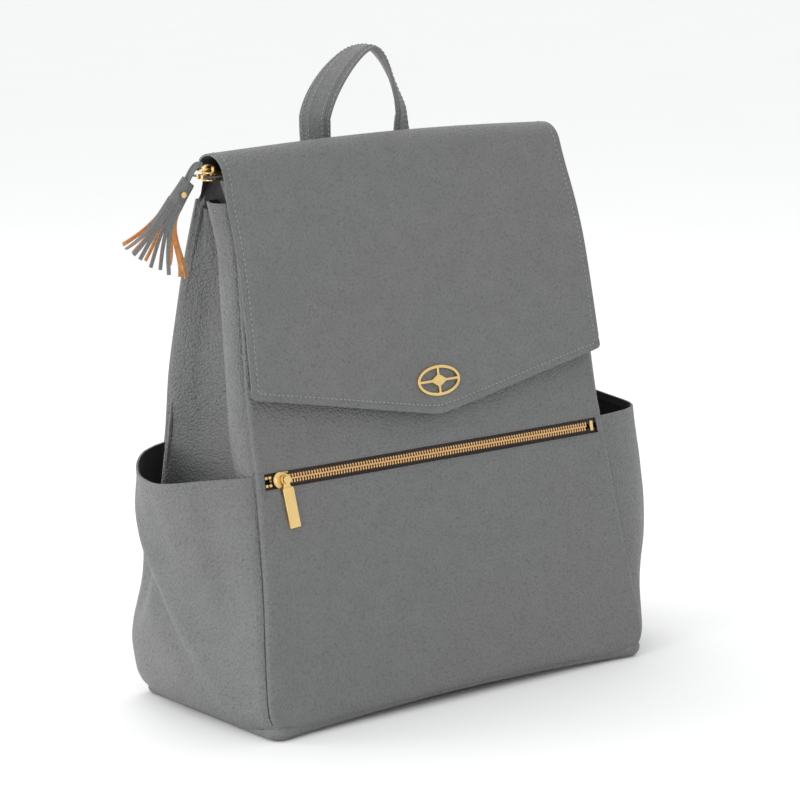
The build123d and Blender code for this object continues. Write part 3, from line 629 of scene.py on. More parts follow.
def gusset_line(z):
    """Control points of the folded side, seen from above, for the +X side."""
    edge = half_width(z) - 1.6
    front, back = front_y(z) + 2.6, back_y(z) - 1.6
    share = min(1.0, z / 215.0)
    fold, roll = 31.0 * share, 8.0 * share
    closing = max(0.0, (z - GUSSET_CLOSES_FROM) / GUSSET_CLOSES_OVER)
    crease = front + 21.5 + 3.0 * closing
    rest = back - crease
    shut = 0.45 * closing ** 1.4
    return [(edge - 2.2, front - 1.0), (edge + 0.35 * roll, front + 1.6), (edge + 0.8 * roll, front + 6.0),
            (edge + roll, front + 12.0), (edge + 0.85 * roll, front + 17.5), (edge + 0.25 * roll, crease),
            (edge - 0.3 * fold, crease + 0.2), (edge - 0.62 * fold, crease + 0.6),
            (edge - 0.92 * fold, crease + 0.08 * rest), (edge - fold, crease + 0.22 * rest),
            (edge - (0.86 - shut) * fold, crease + 0.46 * rest),
            (edge - (0.55 - shut) * fold, crease + 0.72 * rest),
            (edge - 0.3 * fold * (1 - shut), back - 0.17 * rest),
            (edge - 0.06 * fold * (1 - shut), back - 0.07 * rest), (edge + 1.2, back - 0.6),
            (edge + 1.0, back + 1.6),
            (edge - 1.4, back + 2.8)]


def gusset_point(side):
    def point(t, z):
        line = gusset_line(z)
        along = t * (len(line) - 1)
        x = smooth([(i, p[0]) for i, p in enumerate(line)], along)
        y = smooth([(i, p[1]) for i, p in enumerate(line)], along)
        middle = math.sin(math.pi * min(1.0, max(0.0, t)))
        x += (ripple(side * 40, y, z, 60.0, 3.0, 1.3) + ripple(side * 40, y, z, 25.0, 0.8, 4.4)) * middle
        x += 1.4 * middle * math.sin(z / 31.0 + 3.0 * t)
        x += (5.0 * bell(t, 0.74, 0.14) * bell(z, 262.0, 34.0)
              - 4.0 * bell(t, 0.80, 0.16) * bell(z, 205.0, 26.0))
        hem = bell(z, 379.5, 0.9) * 0.3
        return side * (x - hem), y, z
    return point


def pocket_offset(side, t):
    """How far the rim stands out of the side seam, t from the front seam to the back one."""
    left = [(0, 0), (0.06, 9), (0.16, 21), (0.313, 38), (0.481, 46.5), (0.649, 45.5), (0.80, 37), (0.91, 23),
            (0.97, 9), (1, 0)]
    right = [(0, 0), (0.03, 18), (0.08, 36), (0.16, 51), (0.28, 57.5), (0.50, 54.5), (0.68, 47), (0.82, 35),
             (0.93, 18), (1, 0)]
    return smooth(left if side < 0 else right, t)


def pocket_rim(side, t):
    if side < 0:
        return smooth([(0, 190.0), (0.2, 187.0), (0.45, 183.0), (0.65, 184.5), (0.8, 190.0), (0.9, 195.0),
                       (1, 198.0)], t)
    return smooth([(0, 191.0), (0.15, 190.0), (0.4, 193.0), (0.7, 200.0), (0.9, 203.0), (1, 202.0)], t)


def pocket_swell(side, z):
    """Share of the rim's standing out that is left at a height."""
    if side < 0:
        return smooth([(3, 0.12), (20, 0.22), (45, 0.36), (80, 0.5), (110, 0.62), (135, 0.76), (160, 0.9),
                       (190, 1.0), (200, 1.0)], z)
    return smooth([(3, 0.06), (15, 0.12), (30, 0.24), (60, 0.5), (90, 0.78), (120, 0.96), (160, 1.0),
                   (205, 1.0)], z)


POCKET_BOTTOM = 4.4


def pocket_folds(side, t, z):
    """Soft creases and dents, in millimetres outwards."""
    if side < 0:
        slant = (t - 0.27) - (z - 36.0) * (0.50 / 118.0)
        ridge = 5.6 * math.exp(-(slant / 0.075) ** 2) * bell(z, 95.0, 66.0)
        valley = -5.6 * math.exp(-((slant - 0.16) / 0.08) ** 2) * bell(z, 85.0, 48.0)
        dent = -11.0 * bell(t, 0.86 - (z - 95.0) * 0.0012, 0.07) * bell(z, 98.0, 30.0)
        low = 3.5 * bell(t, 0.90, 0.12) * bell(z, 52.0, 28.0)
        front = -3.6 * bell(t, 0.16 + (z - 100.0) * 0.0006, 0.06) * bell(z, 110.0, 55.0)
        upper = -2.4 * bell(t, 0.52 + (z - 150.0) * 0.002, 0.07) * bell(z, 150.0, 26.0)
        return ridge + valley + dent + low + front + upper
    slant = (t - 0.30) + (z - 118.0) * 0.004
    crumple = -4.5 * math.exp(-(slant / 0.09) ** 2) * bell(z, 118.0, 22.0)
    fold = 3.0 * math.exp(-((slant - 0.13) / 0.06) ** 2) * bell(z, 128.0, 22.0)
    low = 3.0 * bell(t, 0.35, 0.22) * bell(z, 84.0, 20.0)
    tuck = -2.4 * bell(t, 0.10, 0.05) * bell(z, 112.0, 34.0)
    return crumple + fold + low + tuck


def pocket_point(side):
    def point(t, v):
        z = POCKET_BOTTOM + (pocket_rim(side, t) - POCKET_BOTTOM) * v
        front = front_y(z) + 3.6
        back = back_y(z) - 3.4
        swell = pocket_swell(side, z)
        ends = math.sin(math.pi * min(1.0, max(0.0, t))) ** 0.5
        x = (half_width(z) - corner_in(z, FRONT_BOTTOM) * (0.62 if t < 0.5 else 0.3)
             * bell(t, round(t), 0.10) + 0.2)
        x += 2.6 * min(1.0, t / 0.02, (1 - t) / 0.02) * 1.0
        x += pocket_offset(side, t) * swell
        y = front + (back - front) * t
        folds = pocket_folds(side, t, z) * ends
        folds += (ripple(side * 50, y, z, 46.0, 2.0, 6.1) + ripple(side * 9, y, z, 19.0, 0.45, 9.2)) * ends
        tangent = (pocket_offset(side, min(1.0, t + 0.02)) - pocket_offset(side, max(0.0, t - 0.02))) * swell
        run = max(back - front, 1.0) * 0.04
        size = math.hypot(tangent, run)
        x += folds * run / size
        y -= folds * tangent / size
        if side < 0:
            y += 10.0 * bell(t, 0.95, 0.13) * bell(z, 44.0, 34.0)
        x -= rounded(z - POCKET_BOTTOM, 7.0) * 0.6
        x -= 0.4 * bell((pocket_rim(side, t) - z), 6.2, 0.9)
        return side * x, y, z
    return point


def build_sides():
    for side, label in ((1, "right"), (-1, "left")):
        point = gusset_point(side)
        us = spread([0.0, 0.01, 0.03, 0.36, 0.44, 1.0], 0.0125)
        vs = spread([9.0, 378.2, 379.5, 380.8, 384.0, 385.0], 6.0)
        piece = skin(f"gusset_{label}", us, vs, point, 1.8, [LEATHER, LINING], (side, 0, 0))
        place(piece, "shell", f"{label}_gusset")
        hem = lay_path(point, [(t, 379.5) for t in spread([0.05, 0.97], 0.02)], (side, 0, 0), 0.1)
        place(stitches(f"gusset_hem_{label}", [hem], THREAD_GREY), "shell")

        point = pocket_point(side)
        us = spread([0.0, 0.008, 0.02, 0.04, 0.96, 0.98, 0.992, 1.0], 0.018)
        height = 190.0 - POCKET_BOTTOM
        vs = spread([0.0] + [d / height for d in (1, 2.5, 4.5, 7, 10)]
                    + [1 - d / height for d in (10, 7.2, 6.2, 5.2, 2.5, 1, 0)], 5.0 / height)
        piece = skin(f"pocket_{label}", us, vs, point, 1.9, [LEATHER, LINING], (side, 0, 0), edge=0.6)
        place(piece, "shell", f"{label}_side_pocket")
        row = 1 - 6.2 / height
        hem = lay_path(point, [(t, row) for t in spread([0.03, 0.97], 0.015)], (side, 0, 0), 0.1,
                       (0.002, 0.003))
        place(stitches(f"pocket_hem_{label}", [hem], THREAD_GREY), "shell")


# ---------------------------------------------------------------- cloth inside
def build_gores():
    """Black cloth that closes each end of the mouth between the gusset's hem and the zip."""
    for side, label in ((1, "right"), (-1, "left")):
        def point(u, z):
            low, high = front_y(z) + 2.6, back_y(z) - 1.2
            sag = 6.0 * math.sin(math.pi * u) * (1.0 - 0.6 * (z - 380.0) / 22.0)
            return (side * (half_width(z) - 2.6 - sag - 6.0 * u * max(0.0, (z - 386.0) / 16.0)),
                    low + (high - low) * u, z)
        piece = skin(f"mouth_gore_{label}", spread([0.0, 1.0], 0.06), spread([378.0, 402.4], 2.4), point, 0.5,
                     [LINING], (side, 0, 0))
        place(piece, "shell")


def build_lining():
    def tub(t, z):
        """t runs once round the opening."""
        reach = 29.0 * min(1.0, z / 200.0) + 6.5
        hx = half_width(z) - reach * (1.0 - 0.55 * max(0.0, (z - 378.0) / 22.0))
        low, high = front_y(z) + 13.0, back_y(z) - 10.5
        if z > 378.0:
            share = (z - 378.0) / 20.0
            low += (-13.0 + 3.6) * share
            high -= (-10.5 + 3.6) * share
        power = 0.14
        angle = t * math.tau
        cx, sy = math.cos(angle), math.sin(angle)
        x = hx * math.copysign(abs(cx) ** power, cx)
        y = (low + high) / 2 + (high - low) / 2 * math.copysign(abs(sy) ** power, sy)
        sag = ripple(x, y, z, 42.0, 2.4, 7.7) * bell(z, 200.0, 160.0)
        return x - cx * abs(sag), y - sy * abs(sag), z

    us = [k / 160 for k in range(161)]
    vs = spread([7.5, 378.0, 398.0], 8.0)
    piece = skin("lining_tub", us, vs, lambda t, z: tub(t % 1.0, z), 0.7, [LINING], (0, 0, 0), edge=0)
    place(piece, "shell", "main_lining")

    def floor_point(c, d):
        z = 7.6 + 0.6 * abs(noise.noise(Vector((c * 9, d * 5, 1.0))))
        return c * 166.0, d * 74.0 + 1.0, z

    steps = spread([-1.0, 1.0], 0.05)
    piece = skin("lining_floor", steps, steps, floor_point, 0.7, [LINING], (0, 0, 1), edge=0)
    place(piece, "shell")

    def slip(c, z):
        x = c * 95.0
        slack = 1.2 * (1 + math.sin(x / 7.5)) * bell(z, 236.0, 30.0) + ripple(x, 0, z, 30.0, 0.5)
        return x, back_y(z) - 12.6 - slack, z

    piece = skin("slip_pocket_cloth", spread([-1.0, 1.0], 0.02), spread([90.0, 231.0, 236.0], 6.0), slip, 0.7,
                 [LINING], (0, -1, 0), edge=0)
    place(piece, "shell", "slip_pocket")

    for side, label, table in ((-1, "front", front_y), (1, "back", back_y)):
        def facing(c, z, side=side, table=table):
            return c * 156.5, table(z) - side * 3.0 - 0.3 * math.sin(c * 31.0), z
        piece = skin(f"facing_{label}", spread([-1.0, 1.0], 0.04), spread([386.0, 400.0], 3.0), facing, 0.8,
                     [LINING], (0, side, 0), edge=0)
        place(piece, "shell", f"mouth_facing_{label}")

    def pouch(c, w):
        """w runs down the back wall, round the bottom and up the front wall."""
        slope = Vector((0.0, math.sin(ZIP_SLOPE), math.cos(ZIP_SLOPE)))
        inwards = Vector((0.0, math.cos(ZIP_SLOPE), -math.sin(ZIP_SLOPE)))
        start = Vector((0.0, front_y(FRONT_ZIP_Z), FRONT_ZIP_Z))
        drop, lift, reach = 120.0, 15.0, 5.6
        if w < 0.5:
            depth, height = 8.6, lift - (drop + lift) * w / 0.5
        else:
            depth, height = 3.4, -drop + (drop - lift) * (w - 0.5) / 0.5
        blend = bell(w, 0.5, 0.02)
        depth += (6.0 - depth) * blend
        depth += 0.8 * noise.noise(Vector((c * 6.0, height / 40.0, 2.0))) * bell(height, -55.0, 50.0)
        p = start + slope * height + inwards * max(min(depth, 3.0 + reach), 3.2)
        return c * 153.0, p.y, p.z

    piece = skin("zip_pocket_cloth", spread([-1.0, 1.0], 0.04),
                 spread([0.0, 0.48, 0.5, 0.52, 1.0], 0.03), pouch, 0.6,
                 [LINING], (0, 0, 0), edge=0)
    place(piece, "shell", "front_pocket_bag")

    def foam_ring(inset, depth):
        points = []
        outline = [(150, 24), (122, 200), (116, 386), (-116, 386), (-122, 200), (-150, 24)]
        centre = Vector((0.0, 200.0))
        for (x0, z0), (x1, z1) in zip(outline, outline[1:] + outline[:1]):
            for k in range(12):
                p = Vector((x0 + (x1 - x0) * k / 12, z0 + (z1 - z0) * k / 12))
                p = centre + (p - centre) * (1.0 - inset / 150.0)
                points.append((p.x, back_y(p.y) - depth, p.y))
        return points

    piece = tube("back_foam_pad", [foam_ring(i, d) for i, d in ((4, 3.2), (1, 3.6), (0, 5.0), (0, 6.2),
                                                              (1, 7.4), (4, 7.8))], [FOAM], sharp=60.0)
    place(piece, "shell", "back_foam")


# ---------------------------------------------------------------- zips
def zip_matrix(origin, tilt):
    """X along the zip, Y across it, Z out of its face. tilt turns it about X from level."""
    return Matrix.Translation(Vector(origin)) @ Matrix.Rotation(tilt, 4, "X")


OUTWARDS = Vector((0.0, -math.cos(ZIP_SLOPE), math.sin(ZIP_SLOPE)))
FRONT_ZIP = zip_matrix(Vector((0.0, -54.83, FRONT_ZIP_Z)) - OUTWARDS * 3.2, math.pi / 2 - ZIP_SLOPE)
MOUTH_ZIP = zip_matrix((0.0, 4.0, 403.6), 0.0)
FRONT_SLIDER_X, MOUTH_SLIDER_X = -143.5, -158.0
TOOTH_PITCH = 2.5


def build_teeth(name, matrix, start, end, side, phase, node, joint):
    """Cast metal teeth on a corded edge: each has a shoulder, a waist and a rounded head."""
    bm = bmesh.new()
    section = [(-0.62, 0.55), (-0.42, 1.0), (0.42, 1.0), (0.62, 0.55), (0.62, -0.55), (0.42, -1.0),
               (-0.42, -1.0), (-0.62, -0.55)]
    stations = [(3.6, 0.7, 0.8), (3.25, 1.05, 1.2), (2.1, 1.1, 1.5), (1.2, 0.85, 1.3), (0.5, 1.0, 1.5),
                (-0.3, 1.0, 1.4), (-0.8, 0.6, 0.85)]
    count = int((end - start - TOOTH_PITCH) / TOOTH_PITCH)
    for i in range(count):
        x = start + phase + (i + 0.2) * TOOTH_PITCH
        loops = [[bm.verts.new((matrix @ Vector((x + a * w * 1.15, side * y, b * h))) * MM) for a,
                  b in section]
                 for y, w, h in stations]
        for a, b in zip(loops, loops[1:]):
            for q in range(8):
                k = (q + 1) % 8
                bm.faces.new((a[q], a[k], b[k], b[q]))
        bm.faces.new(loops[0][::-1])
        bm.faces.new(loops[-1])
    bmesh.ops.recalc_face_normals(bm, faces=bm.faces)
    piece = settle(name, bm, [TEETH], sharp=50.0)
    place(piece, "shell", node)
    part(piece, matrix, side, joint)


def part(piece, matrix, side, joint):
    """Gives the piece its own copy of its mesh."""
    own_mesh(piece)


def build_tape(name, matrix, left, right, side, node, joint):
    """Woven tape with a raised cord at the teeth and a turned outer edge."""
    profile = [(2.2, 0.7), (2.8, 0.9), (3.6, 0.6), (5.0, 0.38), (10.0, 0.36), (13.6, 0.4), (14.2, 0.2),
               (14.2, -0.25), (13.4, -0.4), (5.0, -0.38), (3.6, -0.6), (2.8, -0.9), (2.2, -0.7), (1.9, 0.0)]
    rings = []
    for x in spread([left, right], 6.0):
        wave = 0.18 * math.sin(x / 17.0 + side)
        rings.append([matrix @ Vector((x, side * (y + (wave if y < 13 else 0.0)), h)) for y, h in profile])
    piece = tube(name, rings, [TAPE], sharp=60.0)
    place(piece, "shell", node)
    part(piece, matrix, side, joint)


def slider_outline(nose, tail, length):
    """Shield shape: a wide round nose and a narrow round tail."""
    points = []
    for a in range(100, 261, 16):
        angle = math.radians(a)
        points.append((-length / 2 + nose + nose * math.cos(angle), nose * math.sin(angle)))
    for a in range(-80, 81, 16):
        angle = math.radians(a)
        points.append((length / 2 - tail + tail * math.cos(angle), tail * math.sin(angle)))
    return points


def build_slider(name, matrix, x, body, node, fitting):
    move = matrix @ Matrix.Translation((x, 0.0, 0.0))
    bm = bmesh.new()
    outline = slider_outline(6.3, 4.4, 15.0)
    for low, high in ((2.0, 3.2), (-3.2, -2.0)):
        prism(bm, outline, low, high, move)
    for side in (-1, 1):
        prism(bm, [(-1.5, side * 5.0), (6.6, side * 4.7), (6.6, side * 5.6), (-1.5, side * 6.0)][::side],
              0.75, 2.2, move)
        prism(bm, [(-1.5, side * 5.0), (6.6, side * 4.7), (6.6, side * 5.6), (-1.5, side * 6.0)][::side],
              -2.2, -0.75, move)
    prism(bm, [(1.5 * math.cos(a * math.tau / 12) - 5.3,
                1.5 * math.sin(a * math.tau / 12)) for a in range(12)],
          -2.1, 2.1, move)
    fitting(bm, move)
    bmesh.ops.recalc_face_normals(bm, faces=bm.faces)
    piece = settle(name, bm, [GOLD], [bevel(0.32, 3, 35.0)], sharp=35.0)
    place(piece, body, node)


def circle(radius, x=0.0, y=0.0, count=24):
    return [(x + radius * math.cos(a * math.tau / count), y + radius * math.sin(a * math.tau / count))
            for a in range(count)]


def front_fitting(bm, move):
    """Raised bridge and the post that the pull turns on."""
    upright = move @ Matrix.Rotation(math.pi / 2, 4, "X")
    prism(bm, [(-6.0, 3.1), (-5.4, 3.7), (-1.6, 3.7), (-1.6, 3.1)], -2.3, 2.3, upright)
    prism(bm, circle(1.6, 1.5), 3.0, 7.0, move)
    prism(bm, circle(3.2, 1.5), 6.95, 8.3, move)


def mouth_fitting(bm, move):
    upright = move @ Matrix.Rotation(math.pi / 2, 4, "X")
    arch = [(-6.5, 3.1), (-6.5, 6.6), (-5.4, 8.2), (-3.6, 8.6), (-0.4, 8.6), (1.4, 8.2), (2.5, 6.6),
            (2.5, 3.1),
            (1.0, 3.1), (1.0, 6.3), (0.0, 6.9), (-4.0, 6.9), (-5.0, 6.3), (-5.0, 3.1)]
    prism(bm, arch, -1.7, 1.7, upright)


def build_pull():
    """Bevelled bar with a thicker eye, hanging a little askew."""
    lean = Matrix.Translation((FRONT_SLIDER_X + 1.5, 0.0, 3.9)) @ Matrix.Rotation(math.radians(4.0), 4, "Z")
    move = FRONT_ZIP @ lean
    bm = bmesh.new()
    eye, hole = circle(4.0, count=32), circle(1.7, count=32)
    rings = []
    for outline, height in ((eye, 0.0), (eye, 2.4), (hole, 2.4), (hole, 0.0)):
        rings.append([bm.verts.new((move @ Vector((x, y, height))) * MM) for x, y in outline])
    for a, b in zip(rings, rings[1:] + rings[:1]):
        for q in range(32):
            k = (q + 1) % 32
            bm.faces.new((a[q], a[k], b[k], b[q]))
    prism(bm, [(-3.1, -7.2), (3.1, -7.2), (2.7, -3.2), (-2.7, -3.2)], 0.15, 2.25, move)
    prism(bm, [(-4.3, -35.8), (4.3, -35.8), (4.7, -35.3), (4.7, -7.0), (3.9, -5.6), (-3.9, -5.6),
               (-4.7, -7.0), (-4.7, -35.3)], 0.7, 3.0, move)
    bmesh.ops.recalc_face_normals(bm, faces=bm.faces)
    piece = settle("zip_pull_bar", bm, [GOLD], [bevel(0.42, 3, 35.0)], sharp=35.0)
    place(piece, "front_pull", "front_zip_pull")


def build_zips():
    zips = [("front", FRONT_ZIP, (-160.6, 160.6), FRONT_SLIDER_X, ("lower", "upper"), "front_zip_slide"),
            ("mouth", MOUTH_ZIP, (-168.0, 158.0), MOUTH_SLIDER_X, ("front", "back"), "mouth_zip_slide")]
    for label, matrix, (left, right), slider_x, names, joint in zips:
        for side, name in zip((-1, 1), names):
            phase = 0.0 if side < 0 else TOOTH_PITCH / 2
            build_teeth(f"{label}_teeth_{name}", matrix, slider_x - 1.0, right - 7.0, side, phase,
                        f"{label}_zip_teeth_{name}", joint)
            build_tape(f"{label}_tape_{name}", matrix, left, right, side, f"{label}_zip_tape_{name}", joint)
    build_slider("front_slider_body", FRONT_ZIP, FRONT_SLIDER_X, "front_slider", "front_zip_slider",
                 front_fitting)
    build_slider("mouth_slider_body", MOUTH_ZIP, MOUTH_SLIDER_X, "mouth_slider", "mouth_zip_slider",
                 mouth_fitting)
    build_pull()


# ---------------------------------------------------------------- flap
FLAP_TOP_HALF, FLAP_CORNER_HALF = 159.0, 164.5
FLAP_TIP_Z, FLAP_CORNER_Z = 216.5, 247.0
ARC_END = 156.0
ARC_Z = 407.7
ROOT = [(384.0, 28.2), (390.0, 27.2), (398.0, 26.0), (406.4, 24.3)]
ROOT_END = 20.0


FLAP_TAPER_HEIGHT = 154.0


def flap_half(z):
    return (FLAP_CORNER_HALF + (FLAP_TOP_HALF - FLAP_CORNER_HALF)
            * min(1.0, max(0.0, (z - FLAP_CORNER_Z) / FLAP_TAPER_HEIGHT)) ** 0.9)


def flap_bottom(c):
    """Height of the lower edge: a shallow V with a soft tip and soft corners."""
    a = abs(c)
    soft = math.sqrt(a * a + 0.0016) - 0.04
    return FLAP_TIP_Z + (FLAP_CORNER_Z - FLAP_TIP_Z) * soft / 0.96 + rounded((1 - a) * 164.0, 4.0) * 0.5


def crown_bow(x, z):
    """The rolled top rises towards its middle."""
    share = min(1.0, max(0.0, (z - 392.0) / 24.0))
    return 5.0 * math.cos(math.pi * min(1.0, abs(x - 22.0) / 182.0) / 2) * share * share * (3 - 2 * share)


def flap_front_point(inset=0.0, depth=0.0):
    """s from 0 at the top of the crown, to 1 where the arc ends, to 2 at the lower edge."""
    def point(c, s):
        if s <= 1.0:
            angle = math.radians(90.0 + (ARC_END - 90.0) * s)
            radius = CROWN_RADIUS - depth
            y, z = CROWN.x + radius * math.cos(angle), CROWN.y + radius * math.sin(angle)
            half, edge_low = FLAP_TOP_HALF - inset, 100.0
        else:
            bottom = flap_bottom(c) + inset
            z = ARC_Z - (ARC_Z - bottom) * (s - 1.0)
            y = smooth(FLAP, z)
            slope = (smooth(FLAP, z + 1) - smooth(FLAP, z - 1)) / 2.0
            run = math.hypot(1.0, slope)
            y += depth / run
            z += depth * slope / run * -1.0
            half, edge_low = flap_half(z) - inset, z - bottom
        x = c * half
        side = half - abs(x)
        drop = max(0.0, ARC_Z - z)
        y -= 0.7 * math.cos(c * math.pi / 2) * bell(z, 320.0, 50.0)
        y += (ripple(x, 3, z, 110.0, 1.1, 3.3) * min(1.0, drop / 60.0)
              * (1.0 - bell(abs(x), 0.0, 26.0) * bell(z, 236.0, 22.0)))
        y += 0.9 * bell(side, 0.0, 3.0) * min(1.0, drop / 20.0)
        y += 0.55 * bell(side, 5.2, 0.9) + (0.55 * bell(edge_low, 5.2, 0.9) if s > 1 else 0.0)
        x -= 2.6 * bell(c, -1.0, 0.35) * min(1.0, drop / 30.0)
        return x, y, z + crown_bow(x, z)
    return point


def flap_back_point(inset=0.0, depth=0.0):
    """s from 0 at the sewn root, to 1 where the arc begins, to 2 at the top of the crown."""
    def point(c, s):
        if s < 1.0:
            z = ROOT[0][0] + (ROOT[-1][0] - ROOT[0][0]) * s
            y = smooth(ROOT, z) - depth
        else:
            angle = math.radians(ROOT_END + (90.0 - ROOT_END) * (s - 1.0))
            radius = CROWN_RADIUS - depth
            y, z = CROWN.x + radius * math.cos(angle), CROWN.y + radius * math.sin(angle)
        drawn = min(1.0, max(0.0, (1.45 - s) / 0.6))
        half = FLAP_TOP_HALF - inset - 9.0 * drawn * drawn * (3 - 2 * drawn)
        x = c * half
        return x, y - 0.35 * bell(half - abs(x), 5.2, 0.9), z + crown_bow(x, z)
    return point


def bend_root(piece):
    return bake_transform(piece)


def bend_fall(piece):
    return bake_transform(piece)


def build_flap():
    width = 162.0
    side_marks = [-1 + d / width for d in (0, 0.7, 1.6, 3.0, 4.4, 5.2, 6.0, 8.0)]
    us = spread(side_marks + [-m for m in side_marks[::-1]], 5.0 / width)
    drop = 165.0
    vs = spread([0.0, 1.0] + [2 - d / drop for d in (8, 6, 5.2, 4.4, 3, 1.6, 0.7, 0)], 5.0 / drop)
    vs = [v for v in vs if v >= 1.0]
    vs = spread([0.0, 1.0], 0.08)[:-1] + vs
    front = flap_front_point()
    piece = bend_fall(skin("flap_leather_front", us, vs, front, 1.5, [LEATHER], (0, -1, 0), edge=0.5))
    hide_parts("flap_front")
    back = flap_back_point()
    rows = spread([0.0, 1.0], 0.2)[:-1] + spread([1.0, 2.0], 0.08)
    piece = bend_root(skin("flap_leather_back", us, rows, back, 1.5, [LEATHER], (0, 0.3, 1), edge=0))
    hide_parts("flap_root", "flap_crown")

    few = spread([-1.0, 1.0], 6.0 / width)
    lined = flap_front_point(1.6, 1.55)
    piece = bend_fall(skin("flap_lining_front", few, vs, lined, 0.85, [LINING], (0, -1, 0), edge=0))
    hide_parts("flap_front_lining")
    piece = bend_root(skin("flap_lining_back", few, rows, flap_back_point(1.6, 1.55), 0.85, [LINING],
                           (0, 0.3, 1), edge=0))
    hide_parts("flap_crown_lining")

    side = 1 - 5.2 / width
    low = 2 - 5.2 / drop
    step = (0.002, 0.004)
    edge_rows = spread([0.0, low], 0.02)
    paths = [lay_path(front, [(c, s) for s in edge_rows], (0, -1, 0.05), 0.1, step) for c in (-side, side)]
    paths += [lay_path(front, [(c, low) for c in spread(ends, 0.02)], (0, -1, 0.05), 0.1, step)
              for ends in ((-side, 0.0), (0.0, side))]
    bend_fall(stitches("flap_stitching_front", paths))
    paths = [lay_path(back, [(c, s) for s in spread([0.25, 2.0], 0.04)], (0, 0.5, 1), 0.1,
                      step) for c in (-side, side)]
    bend_root(stitches("flap_stitching_back", paths))
    rows = [lay_path(back, [(c, s) for c in spread([-side, side], 0.02)], (0, 1, 0), 0.1,
                     step) for s in (0.12, 0.40)]
    place(stitches("flap_root_stitching", rows), "shell")


# ---------------------------------------------------------------- grab handle and its patch
def handle_point(t):
    foot_z, spring_z, lean_top, half_span = 377.0, 436.0, 425.0, 41.0
    rise = 489.0 - 2.5 - spring_z
    from_foot = min(t, 1 - t) / 0.25
    side = -1 if t < 0.5 else 1
    if from_foot < 1:
        x, z = side * half_span, foot_z + (spring_z - foot_z) * from_foot
    else:
        angle = math.pi * (t - 0.25) / 0.5
        high = math.sin(angle)
        x, z = -half_span * math.cos(angle) * (1 - 0.33 * high) + 9.0 * high * high, spring_z + rise * high
    lean = min(1.0, (z - foot_z) / (lean_top - foot_z))
    return Vector((x, 35.0 + 2.5 * lean, z))


def handle_frame(t):
    """Centre, across and outward directions at t."""
    direction = (handle_point(min(t + 0.012, 1)) - handle_point(max(t - 0.012, 0))).normalized()
    foot = abs(2 * t - 1)
    turned = smooth([(0, 0.0), (0.22, 19.0), (0.38, 38.0), (0.5, 54.0), (0.6, 63.0), (0.8, 76.0),
                     (1.0, 85.0)], foot)
    turn = math.radians(turned)
    depth_way = Vector((0, 1, 0)) - direction * direction.y
    across = Quaternion(direction, turn) @ depth_way.normalized()
    return handle_point(t), across, direction.cross(across)


def build_handle():
    section = [(-12.0, 0.0), (-11.7, 0.8), (-11.0, 1.15), (-7.6, 1.3), (-7.0, 1.9), (-6.3, 2.1), (-3.0, 2.2),
               (3.0, 2.2), (6.3, 2.1), (7.0, 1.9), (7.6, 1.3), (11.0, 1.15), (11.7, 0.8), (12.0, 0.0),
               (11.7, -0.8), (11.0, -1.1), (6.8, -1.2), (6.2, -1.7), (-6.2, -1.7), (-6.8, -1.2),
               (-11.0, -1.1),
               (-11.7, -0.8)]
    rings = []
    for k in range(97):
        t = k / 96
        centre, across, out = handle_frame(t)
        pinch = 1.0 - 0.10 * bell(t, 0.5, 0.12)
        rings.append([centre + across * a * pinch + out * b for a, b in section])
    place(tube("handle_band", rings, [LEATHER_FINE], sharp=50.0), "grab_handle", "grab_handle")
    paths = []
    for offset, level in ((-5.2, 2.3), (5.2, 2.3), (-10.0, 1.35), (10.0, 1.35)):
        path = []
        for k in range(2, 95):
            centre, across, out = handle_frame(k / 96)
            path.append((centre + across * offset + out * level, out.copy()))
        paths.append(path)
    place(stitches("handle_stitching", paths, radius=0.36), "grab_handle")


def flat_patch(name, rows, left, right, standoff, thickness, node, stitch, material=None):
    """A leather patch sewn on the back panel: left(z) and right(z) bound it."""
    low, high = rows

    def point(c, z):
        x = left(z) + (right(z) - left(z)) * c
        edge = min(c * (right(z) - left(z)), (1 - c) * (right(z) - left(z)), z - low, high - z)
        return x, back_y(z) + standoff + thickness - 0.9 * rounded(edge, 1.6) - 0.3 * bell(edge, 4.0, 0.9), z

    us = spread([0.0, 0.01, 0.03, 0.07, 0.93, 0.97, 0.99, 1.0], 0.06)
    vs = spread([low, low + 0.7, low + 1.6, high - 1.6, high - 0.7, high], 4.0)
    place(skin(name, us, vs, point, thickness, [material or LEATHER_FINE], (0, 1, 0)), "shell", node)
    loops = []
    for a, b in (((0, low + stitch), (1, low + stitch)), ((1, low + stitch), (1, high - stitch)),
                 ((1, high - stitch), (0, high - stitch)), ((0, high - stitch), (0, low + stitch))):
        pairs = []
        for k in range(25):
            z = a[1] + (b[1] - a[1]) * k / 24
            span = right(z) - left(z)
            inset = stitch / span
            c = a[0] + (b[0] - a[0]) * k / 24
            pairs.append((inset + (1 - 2 * inset) * c, z))
        loops.append(lay_path(point, pairs, (0, 1, 0), 0.1))
    place(stitches(f"{name}_stitching", loops), "shell")


def build_patches():
    def reach(z):
        return smooth([(330, 70.0), (336, 82.0), (344, 88.0), (370, 88.0), (379, 80.0), (384, 70.0)], z)
    flat_patch("handle_patch_leather", (330.0, 384.0), lambda z: -reach(z), reach, 0.3, 2.0,
               "handle_patch", 4.0)
    for side, label in ((1, "right"), (-1, "left")):
        def outer(z):
            return smooth([(18, 164.0), (35, 168.0), (54, 148.0)], z)

        def inner(z):
            return smooth([(18, 126.0), (54, 118.0)], z)
        if side > 0:
            bounds = (inner, outer)
        else:
            bounds = (lambda z: -outer(z), lambda z: -inner(z))
        flat_patch(f"strap_tab_leather_{label}", (18.0, 54.0), *bounds, 0.3, 2.0, f"{label}_strap_tab", 3.6)


